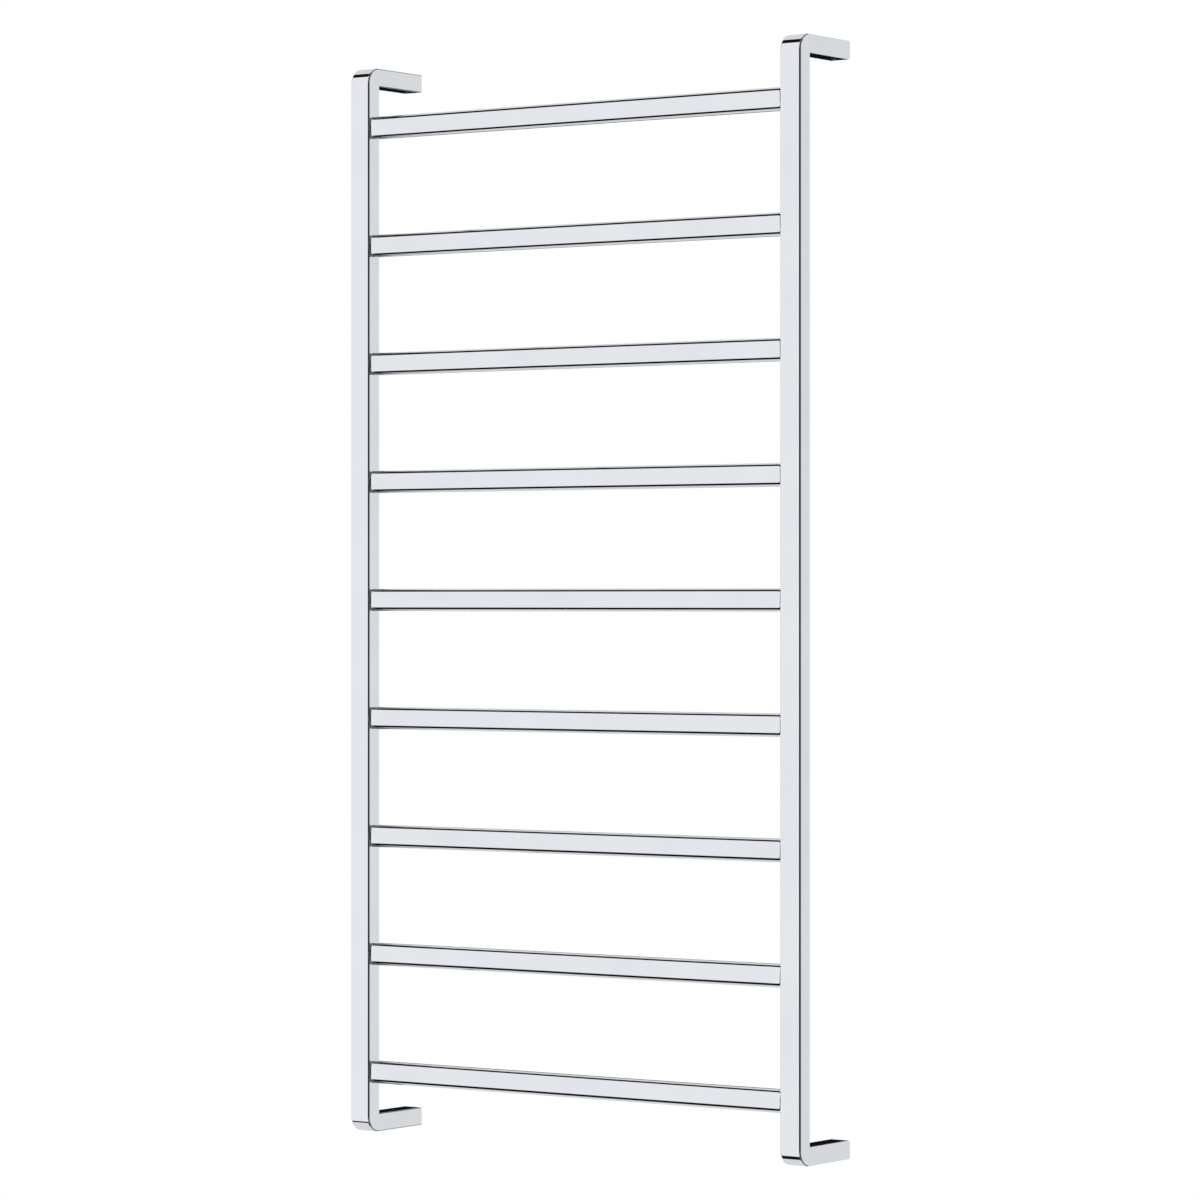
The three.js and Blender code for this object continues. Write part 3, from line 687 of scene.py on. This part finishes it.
def make_grub_screw(row, hand, material):
    """A threaded screw with a hexagon socket in its lower end and a cup point above."""
    node = f"grub_screw_{row}_{hand}"
    low, high, middle = box_of(node)
    radius = (high.x - low.x) / 2
    root = radius - THREAD_DEPTH
    length = high.z - low.z
    profile = [(0, 0), (root, 0)]
    profile += thread(radius, THREAD_PITCH / 2, length - THREAD_PITCH)
    profile += [(root - THREAD_DEPTH, length), (root / 2, length), (0, length - root / 2)]
    screw = plain_object(f"{node}_steel", lathe(profile, (middle.x, middle.y, low.z), (0, 0, 1)))
    socket_low = (middle.x, middle.y, low.z - OVERRUN)
    socket_high = (middle.x, middle.y, low.z + HEX_SOCKET_DEPTH)
    combine(screw, [rod(HEX_SOCKET_FLATS / math.sqrt(3), socket_low, socket_high, sides=6)])
    finish_by_angle(screw, material, "steel_screw", node)


# ---- Heating cable and what is wired to it -----


def make_heating_cable(material):
    """Up the right upright, then to and fro through the rungs from the bottom to the top."""
    start_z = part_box("thermal_cutout")[1].z + FIT
    end_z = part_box("cable_end_cap")[0].z - FIT
    corners = [(PASSAGE_X, RUNG_CENTRE_Y, start_z)]
    side = 1
    for level in sorted(RUNG_LEVELS):
        corners.append((side * PASSAGE_X, RUNG_CENTRE_Y, level))
        corners.append((-side * PASSAGE_X, RUNG_CENTRE_Y, level))
        side = -side
    corners.append((-PASSAGE_X, RUNG_CENTRE_Y, end_z))
    route = rounded_route(corners, CABLE_BEND_RADIUS)
    cable = plain_object("heating_cable_sheath", tube_along(route, CABLE_RADIUS))
    finish_by_angle(cable, material, "silicone_cable", "heating_cable")


def make_link_lead(material):
    joint_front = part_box("cold_joint_sleeve")[0].y
    cutout_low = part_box("thermal_cutout")[0].z
    corners = [
        (PASSAGE_X, joint_front - FIT, -ARM_CENTRE_Z),
        (PASSAGE_X, RUNG_CENTRE_Y, -ARM_CENTRE_Z),
        (PASSAGE_X, RUNG_CENTRE_Y, cutout_low - FIT),
    ]
    route = rounded_route(corners, LINK_BEND_RADIUS)
    lead = plain_object("link_lead_sheath", tube_along(route, CABLE_RADIUS))
    finish_by_angle(lead, material, "silicone_cable", "link_lead")


# ---- Cap, cut-out, sleeve and grommet ----------


def make_end_cap(material):
    """A moulded cap with a bead round its mouth and a domed tip."""
    low, high, middle = box_of("cable_end_cap")
    length = high.z - low.z
    bead = (high.x - low.x) / 2
    body = bead - CAP_BEAD
    profile = [(0, 0), (body, 0), (bead, CAP_BEAD), (bead, 3 * CAP_BEAD), (body, 4 * CAP_BEAD)]
    for step in range(EDGE_STEPS):
        angle = math.pi / 2 * step / EDGE_STEPS
        profile.append((body * math.cos(angle), length - body + body * math.sin(angle)))
    profile.append((0, length))
    cap = plain_object("cable_end_cap_moulding", lathe(profile, (middle.x, middle.y, low.z), (0, 0, 1)))
    finish_by_angle(cap, material, "black_rubber", "cable_end_cap")


def make_thermal_cutout(material):
    low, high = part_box("thermal_cutout")
    cutout = plain_object("thermal_cutout_moulding", rounded_block(low, high, 2, MOULD_RADIUS, MOULD_EDGE))
    finish_by_angle(cutout, material, "cutout_body", "thermal_cutout")


def make_joint_sleeve(material):
    """A sleeve shrunk over two splices, so it has a neck at each end and a shallow waist."""
    low, high, middle = box_of("cold_joint_sleeve")
    length = high.y - low.y
    radius = (high.x - low.x) / 2
    neck = CABLE_RADIUS + SLEEVE_THICKNESS
    profile = [(0, 0)]
    for step in range(SLEEVE_STEPS + 1):
        along = length * step / SLEEVE_STEPS
        from_end = min(along, length - along)
        rise = min(1.0, from_end / SLEEVE_TAPER)
        rise = rise * rise * (3 - 2 * rise)
        waist = SLEEVE_WAIST * math.exp(-((along - length / 2) / SLEEVE_TAPER) ** 2)
        profile.append((neck + (radius - neck) * rise - waist, along))
    profile.append((0, length))
    sleeve = plain_object("cold_joint_sleeve_skin", lathe(profile, (middle.x, high.y, middle.z), (0, -1, 0)))
    finish_by_angle(sleeve, material, "shrink_sleeve", "cold_joint_sleeve")


def make_grommet(material):
    """Its flange bears on the front of the bracket and its body fills the cable passage."""
    low, high, middle = box_of("cable_grommet")
    length = high.y - low.y
    flange = (high.x - low.x) / 2
    body = PASSAGE_RADIUS - FIT
    bore = CABLE_RADIUS + FIT
    profile = [(bore, GROMMET_ROUND), (bore + GROMMET_ROUND, 0)]
    for step in range(EDGE_STEPS + 1):
        angle = math.pi / 2 * (1 - step / EDGE_STEPS)
        outward = flange - GROMMET_ROUND * (1 - math.cos(angle))
        profile.append((outward, GROMMET_ROUND * (1 - math.sin(angle))))
    profile += [(flange, GROMMET_FLANGE), (body, GROMMET_FLANGE)]
    profile += [(body, length - GROMMET_ROUND), (body - GROMMET_ROUND, length), (bore, length)]
    grommet = plain_object("cable_grommet_moulding", lathe(profile, (middle.x, low.y, middle.z), (0, 1, 0)))
    finish_by_angle(grommet, material, "black_rubber", "cable_grommet")


# ---- Earth parts -------------------------------


def make_earth_stud(material):
    """A stud welded to the arm's ceiling, threaded below the weld."""
    low, high, middle = box_of("earth_stud")
    length = high.z - low.z
    profile = [(0, 0), (STUD_RADIUS, 0)]
    profile += thread(STUD_RADIUS, 2 * THREAD_PITCH, length - THREAD_PITCH)
    profile += [(STUD_RADIUS - THREAD_DEPTH, length), (0, length)]
    stud = plain_object("earth_stud_brass", lathe(profile, (middle.x, middle.y, high.z), (0, 0, -1)))
    finish_by_angle(stud, material, "brass_terminal", "earth_stud")


def make_earth_nut(material):
    """A hexagon nut with its corners turned off at both ends."""
    low, high, middle = box_of("earth_nut")
    half_height = (high.z - low.z) / 2
    half_flats = (high.y - low.y) / 2
    shoulder = half_flats * NUT_SHOULDER
    bm = bmesh.new()
    rings = {}
    for end in (-1, 1):
        for side in range(ROUND_SIDES):
            angle = 2 * math.pi * side / ROUND_SIDES
            way = Vector((math.cos(angle), math.sin(angle), 0))
            from_flat = angle % (math.pi / 3) - math.pi / 6
            radius = half_flats / math.cos(from_flat)
            drop = (radius - shoulder) * NUT_CHAMFER_SLOPE
            places = (
                ("bore", STUD_RADIUS + FIT, half_height),
                ("face", shoulder, half_height),
                ("side", radius, half_height - drop),
            )
            for label, distance, rise in places:
                point = middle + way * distance + Vector((0, 0, end * rise))
                rings.setdefault((label, end), []).append(bm.verts.new(point))
    bridge(bm, rings["bore", -1], rings["bore", 1])
    bridge(bm, rings["side", -1], rings["side", 1])
    for end in (-1, 1):
        bridge(bm, rings["bore", end], rings["face", end])
        bridge(bm, rings["face", end], rings["side", end])
    bmesh.ops.recalc_face_normals(bm, faces=bm.faces)
    nut = plain_object("earth_nut_brass", bm)
    finish_by_angle(nut, material, "brass_terminal", "earth_nut", angle=20)


def make_ring_terminal(material):
    """A flat ring with a crimped barrel that points away from the wall."""
    low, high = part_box("earth_ring_terminal")
    stud_low, stud_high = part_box("earth_stud")
    centre = Vector(((low.x + high.x) / 2, (stud_low.y + stud_high.y) / 2, (low.z + high.z) / 2))
    outer = high.y - centre.y
    bore = STUD_RADIUS + FIT
    half = RING_THICKNESS / 2
    ring = [(bore, -half), (outer - RING_ROUND, -half), (outer, -half + RING_ROUND)]
    ring += [(outer, half - RING_ROUND), (outer - RING_ROUND, half), (bore, half)]
    terminal = plain_object("earth_ring_terminal_brass", lathe(ring, centre, (0, 0, 1)))
    start_y = centre.y - outer + RING_THICKNESS
    length = start_y - low.y
    barrel = [(0, 0)]
    for step in range(2 * EDGE_STEPS + 1):
        along = length * step / (2 * EDGE_STEPS)
        crimp = CRIMP_DEPTH * math.exp(-((along - length / 2) / CRIMP_WIDTH) ** 2)
        barrel.append((BARREL_RADIUS - crimp, along))
    barrel.append((0, length))
    combine(terminal, [lathe(barrel, (centre.x, start_y, centre.z), (0, -1, 0))], "UNION")
    finish_by_angle(terminal, material, "brass_terminal", "earth_ring_terminal")


def make_earth_lead(material):
    """From the barrel of the ring terminal, in a loop to the front of the joint."""
    ring_low, ring_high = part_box("earth_ring_terminal")
    joint_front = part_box("cold_joint_sleeve")[0].y
    barrel = Vector(((ring_low.x + ring_high.x) / 2, ring_low.y - FIT, (ring_low.z + ring_high.z) / 2))
    knots = [
        barrel,
        barrel + Vector(EARTH_LEAD_START),
        shifted(barrel.x, joint_front, barrel.z, EARTH_LEAD_TURN),
        shifted(barrel.x, joint_front, -ARM_CENTRE_Z, EARTH_LEAD_LOOP),
        shifted(PASSAGE_X, joint_front, -ARM_CENTRE_Z, EARTH_LEAD_END),
    ]
    lead = plain_object("earth_lead_sheath", tube_along(smooth_curve(knots, EDGE_STEPS), EARTH_LEAD_RADIUS))
    finish_by_angle(lead, material, "earth_insulation", "earth_lead")


# ---- Materials ---------------------------------


class Nodes:
    """A node tree, with short calls that add a node and return the output to plug in next."""

    def __init__(self, tree):
        self.tree = tree
        tree.nodes.clear()

    def add(self, kind, inputs, output=0, **settings):
        node = self.tree.nodes.new(kind)
        for name, value in settings.items():
            setattr(node, name, value)
        for name, value in inputs.items():
            if isinstance(value, bpy.types.NodeSocket):
                self.tree.links.new(value, node.inputs[name])
            else:
                node.inputs[name].default_value = value
        return node.outputs[output] if node.outputs else node

    def math(self, operation, *values):
        return self.add("ShaderNodeMath", dict(enumerate(values)), operation=operation)

    def scaled(self, vector, scale):
        return self.add("ShaderNodeMapping", {"Vector": vector, "Scale": scale})

    def noise(self, vector, scale, detail=2.0):
        return self.add("ShaderNodeTexNoise", {"Vector": vector, "Scale": scale, "Detail": detail})

    def fit(self, value, low, high, to_low=0.0, to_high=1.0, smooth=False):
        """Maps a range to another one, and clamps it there."""
        inputs = {"Value": value, "From Min": low, "From Max": high, "To Min": to_low, "To Max": to_high}
        kind = "SMOOTHSTEP" if smooth else "LINEAR"
        return self.add("ShaderNodeMapRange", inputs, interpolation_type=kind)

    def mix(self, factor, first, second):
        """Blends two colours, each of them an output or red, green and blue."""
        node = self.tree.nodes.new("ShaderNodeMix")
        node.data_type = "RGBA"
        for index, value in ((0, factor), (6, first), (7, second)):
            if isinstance(value, bpy.types.NodeSocket):
                self.tree.links.new(value, node.inputs[index])
            else:
                node.inputs[index].default_value = (*value, 1.0) if index else value
        return node.outputs[2]

    def bump(self, height, distance, strength=1.0, normal=None):
        inputs = {"Height": height, "Distance": distance, "Strength": strength}
        if normal is not None:
            inputs["Normal"] = normal
        return self.add("ShaderNodeBump", inputs)


def new_material(name):
    """A material, its nodes and the object's own coordinates, in metres."""
    material = bpy.data.materials.new(name)
    material.use_nodes = True
    nodes = Nodes(material.node_tree)
    place = nodes.add("ShaderNodeTexCoord", {}, "Object")
    return material, nodes, place


def close_material(nodes, **inputs):
    named = {name.replace("_", " "): value for name, value in inputs.items()}
    shader = nodes.add("ShaderNodeBsdfPrincipled", named)
    nodes.add("ShaderNodeOutputMaterial", {"Surface": shader})


def chrome(name, grain):
    """Bright chrome plate over tube that was polished along its length. The grain is the number of
    polishing lines to a metre along each axis."""
    material, nodes, place = new_material(name)
    lines = nodes.noise(nodes.scaled(place, grain), 1.0, 3.0)
    clouds = nodes.noise(place, CHROME_CLOUDS, 3.0)
    tint = nodes.mix(nodes.fit(clouds, *PATCHY), CHROME_DULL, CHROME_BRIGHT)
    polish = nodes.math("MULTIPLY", lines, clouds)
    roughness = nodes.fit(polish, *POLISHED, *CHROME_ROUGHNESS)
    waves = nodes.noise(place, CHROME_WAVES, 1.0)
    wavy = nodes.bump(waves, CHROME_WAVE_HEIGHT)
    lined = nodes.bump(lines, CHROME_LINE_HEIGHT, normal=wavy)
    close_material(nodes, Base_Color=tint, Metallic=1.0, Roughness=roughness, Normal=lined)
    return material


def cast_metal():
    """Pressure-cast zinc: a grey skin with a fine grain and slightly darker flow marks."""
    material, nodes, place = new_material("cast_zinc")
    grain = nodes.noise(place, ZINC_GRAIN, 4.0)
    flow = nodes.noise(nodes.scaled(place, ZINC_FLOW), 1.0, 4.0)
    tint = nodes.mix(nodes.fit(flow, *PATCHY), ZINC_DARK, ZINC_PALE)
    roughness = nodes.fit(grain, *EVEN, 0.38, 0.62)
    rough = nodes.bump(grain, ZINC_RELIEF)
    close_material(nodes, Base_Color=tint, Metallic=1.0, Roughness=roughness, Normal=rough)
    return material


def turned_steel():
    """Stainless steel with the rings that a turning tool leaves."""
    material, nodes, place = new_material("turned_steel")
    rings = nodes.noise(nodes.scaled(place, STEEL_RINGS), 1.0, 3.0)
    smears = nodes.noise(place, STEEL_SMEARS, 4.0)
    tint = nodes.mix(nodes.fit(smears, 0.3, 0.75), STEEL_DARK, STEEL_PALE)
    roughness = nodes.fit(rings, *EVEN, 0.22, 0.42)
    turned = nodes.bump(rings, METAL_RELIEF)
    close_material(nodes, Base_Color=tint, Metallic=1.0, Roughness=roughness, Normal=turned)
    return material


def brass():
    """Brass that has begun to tarnish in patches."""
    material, nodes, place = new_material("brass")
    patches = nodes.noise(place, BRASS_PATCHES, 5.0)
    lines = nodes.noise(nodes.scaled(place, BRASS_LINES), 1.0, 2.0)
    tint = nodes.mix(nodes.fit(patches, 0.4, 0.7), BRASS_BRIGHT, BRASS_TARNISHED)
    roughness = nodes.fit(patches, 0.35, 0.7, 0.2, 0.5)
    lined = nodes.bump(lines, METAL_RELIEF)
    close_material(nodes, Base_Color=tint, Metallic=1.0, Roughness=roughness, Normal=lined)
    return material


def silicone():
    """A matt silicone sheath, dusted with talc, with the fine draw marks of its extrusion."""
    material, nodes, place = new_material("silicone_sheath")
    talc = nodes.noise(place, SILICONE_TALC, 5.0)
    marks = nodes.noise(nodes.scaled(place, SILICONE_MARKS), 1.0, 2.0)
    tint = nodes.mix(nodes.fit(talc, *SPARSE), SILICONE_RED, SILICONE_DUSTED)
    roughness = nodes.fit(talc, 0.4, 0.7, 0.5, 0.75)
    marked = nodes.bump(marks, 0.00003)
    close_material(nodes, Base_Color=tint, Roughness=roughness, Subsurface_Weight=0.08, Normal=marked)
    return material


def rubber():
    """Black moulded rubber with a fine matt texture and a grey bloom."""
    material, nodes, place = new_material("black_rubber")
    grain = nodes.noise(place, RUBBER_GRAIN, 3.0)
    bloom = nodes.noise(place, RUBBER_BLOOM, 4.0)
    tint = nodes.mix(nodes.fit(bloom, *SPARSE), RUBBER_BLACK, RUBBER_GREY)
    roughness = nodes.fit(grain, *EVEN, 0.62, 0.85)
    textured = nodes.bump(grain, 0.00004)
    close_material(nodes, Base_Color=tint, Roughness=roughness, Normal=textured)
    return material


def shrink_sleeve():
    """Dark heat-shrunk tube: glossier on the humps, with faint creases along it."""
    material, nodes, place = new_material("shrunk_sleeve")
    creases = nodes.noise(nodes.scaled(place, SLEEVE_CREASES), 1.0, 4.0)
    mottle = nodes.noise(place, SLEEVE_MOTTLE, 3.0)
    tint = nodes.mix(nodes.fit(mottle, *PATCHY), SLEEVE_DARK, SLEEVE_PALE)
    roughness = nodes.fit(mottle, *EVEN, 0.32, 0.55)
    creased = nodes.bump(creases, SLEEVE_RELIEF)
    close_material(nodes, Base_Color=tint, Roughness=roughness, Normal=creased)
    return material


def phenolic():
    """A cream moulded body with a spark-eroded texture and faint mottling."""
    material, nodes, place = new_material("moulded_body")
    mottle = nodes.noise(place, BODY_MOTTLE, 5.0)
    texture = nodes.noise(place, BODY_TEXTURE, 2.0)
    tint = nodes.mix(nodes.fit(mottle, *PATCHY), BODY_DARK, BODY_PALE)
    roughness = nodes.fit(texture, *EVEN, 0.42, 0.6)
    textured = nodes.bump(texture, 0.00003)
    close_material(nodes, Base_Color=tint, Roughness=roughness, Subsurface_Weight=0.05, Normal=textured)
    return material


def earth_insulation():
    """Green and yellow insulation: the yellow is a stripe that winds round the lead."""
    material, nodes, place = new_material("earth_insulation")
    unwrapped = nodes.add("ShaderNodeTexCoord", {}, "UV")
    turn = nodes.add("ShaderNodeSeparateXYZ", {"Vector": unwrapped}, "X")
    along = nodes.add("ShaderNodeSeparateXYZ", {"Vector": unwrapped}, "Y")
    winding = nodes.math("ADD", turn, nodes.math("MULTIPLY", along, STRIPE_TURNS))
    phase = nodes.math("FRACT", winding)
    wear = nodes.noise(place, EARTH_WEAR, 2.0)
    edge = nodes.math("ADD", phase, nodes.math("MULTIPLY", wear, STRIPE_WOBBLE))
    starts = nodes.fit(edge, *STRIPE_START)
    ends = nodes.fit(edge, *STRIPE_END, 1.0, 0.0)
    stripe = nodes.math("MULTIPLY", starts, ends)
    tint = nodes.mix(stripe, EARTH_GREEN, EARTH_YELLOW)
    roughness = nodes.fit(wear, *EVEN, 0.35, 0.55)
    dented = nodes.bump(wear, METAL_RELIEF)
    close_material(nodes, Base_Color=tint, Roughness=roughness, Normal=dented)
    return material


# ---- Studio ------------------------------------


def make_world():
    """White for the camera. Reflections see a dark studio with large soft lights."""
    world = bpy.data.worlds.new("studio")
    world.use_nodes = True
    nodes = Nodes(world.node_tree)
    way = nodes.add("ShaderNodeTexCoord", {}, "Generated")
    x, y, z = (nodes.add("ShaderNodeSeparateXYZ", {"Vector": way}, axis) for axis in "XYZ")
    forward = nodes.math("MULTIPLY", y, -1.0)
    coordinates = {
        "azimuth": nodes.math("DEGREES", nodes.math("ARCTAN2", x, forward)),
        "elevation": nodes.math("DEGREES", nodes.math("ARCSINE", z)),
        "roll": nodes.math("DEGREES", nodes.math("ARCTAN2", z, forward)),
        "aside": x,
    }
    seen = ROOM_COLOUR
    for limits, tint in STUDIO_PATCHES:
        mask = 1.0
        for name, (low, high) in limits.items():
            soft = SOFTNESS[name]
            rise = nodes.fit(coordinates[name], low - soft, low + soft, smooth=True)
            fall = nodes.fit(coordinates[name], high - soft, high + soft, 1.0, 0.0, smooth=True)
            mask = nodes.math("MULTIPLY", mask, nodes.math("MULTIPLY", rise, fall))
        seen = nodes.mix(mask, seen, tint)
    from_camera = nodes.add("ShaderNodeLightPath", {}, "Is Camera Ray")
    shown = nodes.mix(from_camera, seen, WHITE)
    background = nodes.add("ShaderNodeBackground", {"Color": shown})
    nodes.add("ShaderNodeOutputWorld", {"Surface": background})
    bpy.context.scene.world = world


def make_floor():
    """A pale disc well below the rack, which fades to white at its rim."""
    material, nodes, place = new_material("pale_floor")
    distance = nodes.add("ShaderNodeVectorMath", {"Vector": place}, "Value", operation="LENGTH")
    speckle = nodes.noise(place, FLOOR_SPECKLE, 4.0)
    tint = nodes.mix(speckle, FLOOR_DARK, FLOOR_PALE)
    paint = nodes.add("ShaderNodeBsdfDiffuse", {"Color": tint})
    light = nodes.add("ShaderNodeEmission", {"Color": (*WHITE, 1.0)})
    fade = nodes.fit(distance, *FLOOR_FADE, smooth=True)
    shader = nodes.add("ShaderNodeMixShader", {0: fade, 1: paint, 2: light})
    nodes.add("ShaderNodeOutputMaterial", {"Surface": shader})
    bm = bmesh.new()
    bmesh.ops.create_circle(bm, cap_ends=True, segments=4 * ROUND_SIDES, radius=FLOOR_RADIUS)
    floor = plain_object("floor", bm)
    floor.location.z = cad_low.z - FLOOR_DROP
    floor.data.materials.append(material)
    floor.visible_glossy = False


def make_soft_light(name, azimuth, elevation, power):
    """A large lamp that aims at the rack from its front. Reflections don't see it."""
    lamp = bpy.data.lights.new(name, "AREA")
    lamp.shape = "DISK"
    lamp.size = LAMP_SIZE
    lamp.energy = power
    light = bpy.data.objects.new(name, lamp)
    bpy.context.scene.collection.objects.link(light)
    azimuth = math.radians(azimuth)
    elevation = math.radians(elevation)
    way = Vector((math.sin(azimuth) * math.cos(elevation), -math.cos(azimuth) * math.cos(elevation),
                  math.sin(elevation)))
    light.location = way * LAMP_DISTANCE
    light.rotation_euler = way.to_track_quat("Z", "Y").to_euler()
    light.visible_glossy = False


def make_fold_card(hand, slopes):
    """A small lamp that only reflections see, close to a lower fold. It is where the camera sees it
    reflected between the two slopes of the metal."""
    camera = bpy.context.scene.camera
    centre = Vector((SIDES[hand] * POST_CENTRE_X, FRONT_Y + BEND_RADIUS, BEND_RADIUS - TOP_Z))
    ends = []
    for slope in slopes:
        angle = math.radians(slope)
        normal = Vector((0, -math.cos(angle), -math.sin(angle)))
        point = centre + BEND_RADIUS * normal
        sight = (point - camera.location).normalized()
        ends.append(point + CARD_DISTANCE * sight.reflect(normal))
    near, far = ends
    up = near - far
    across = Vector((1, 0, 0))
    across = (across - across.project(up)).normalized()
    lamp = bpy.data.lights.new(f"{hand}_fold_card", "AREA")
    lamp.shape = "RECTANGLE"
    lamp.size = POST_WIDTH - 2 * POST_EDGE_RADIUS
    lamp.size_y = up.length
    lamp.color = OVERHEAD_LIGHT
    lamp.energy = CARD_POWER * lamp.size * lamp.size_y
    light = bpy.data.objects.new(lamp.name, lamp)
    bpy.context.scene.collection.objects.link(light)
    up.normalize()
    turn = Matrix((across, up, across.cross(up))).transposed()
    light.matrix_world = Matrix.Translation((near + far) / 2) @ turn.to_4x4()
    light.visible_camera = False
    light.visible_diffuse = False


def make_camera():
    """Level, at mid height, looking at the rack from its right."""
    data = bpy.data.cameras.new("camera")
    data.lens = CAMERA_LENS
    data.sensor_width = SENSOR_WIDTH
    camera = bpy.data.objects.new("camera", data)
    bpy.context.scene.collection.objects.link(camera)
    aside = Vector((math.cos(CAMERA_AZIMUTH), math.sin(CAMERA_AZIMUTH), 0))
    ahead = Vector((-math.sin(CAMERA_AZIMUTH), math.cos(CAMERA_AZIMUTH), 0))
    front = Vector((0, FRONT_Y, 0))
    camera.location = front + CAMERA_ASIDE * aside - CAMERA_DISTANCE * ahead
    camera.rotation_euler = (math.pi / 2, 0, CAMERA_AZIMUTH)
    bpy.context.scene.camera = camera


# ---- The rack ----------------------------------

rung_chrome = chrome("chrome_plate_rung", (RUN_GRAIN, CROSS_GRAIN, CROSS_GRAIN))
post_chrome = chrome("chrome_plate_upright", (CROSS_GRAIN, CROSS_GRAIN, RUN_GRAIN))
zinc = cast_metal()
steel = turned_steel()
for hand in SIDES:
    make_upright(hand, post_chrome)
    for row in ROWS:
        make_bracket(row, hand, zinc)
        make_grub_screw(row, hand, steel)
for name, level in zip(RUNG_NAMES, RUNG_LEVELS):
    make_rung(name, level, rung_chrome)

sheath = silicone()
black = rubber()
terminal_brass = brass()
make_heating_cable(sheath)
make_link_lead(sheath)
make_end_cap(black)
make_grommet(black)
make_thermal_cutout(phenolic())
make_joint_sleeve(shrink_sleeve())
make_earth_stud(terminal_brass)
make_earth_nut(terminal_brass)
make_ring_terminal(terminal_brass)
make_earth_lead(earth_insulation())

make_world()
make_floor()
make_soft_light("key_light", *KEY_LAMP)
make_soft_light("fill_light", *FILL_LAMP)
make_camera()
for hand, slopes in FOLD_CARDS.items():
    make_fold_card(hand, slopes)
bpy.context.scene.view_settings.view_transform = "Standard"
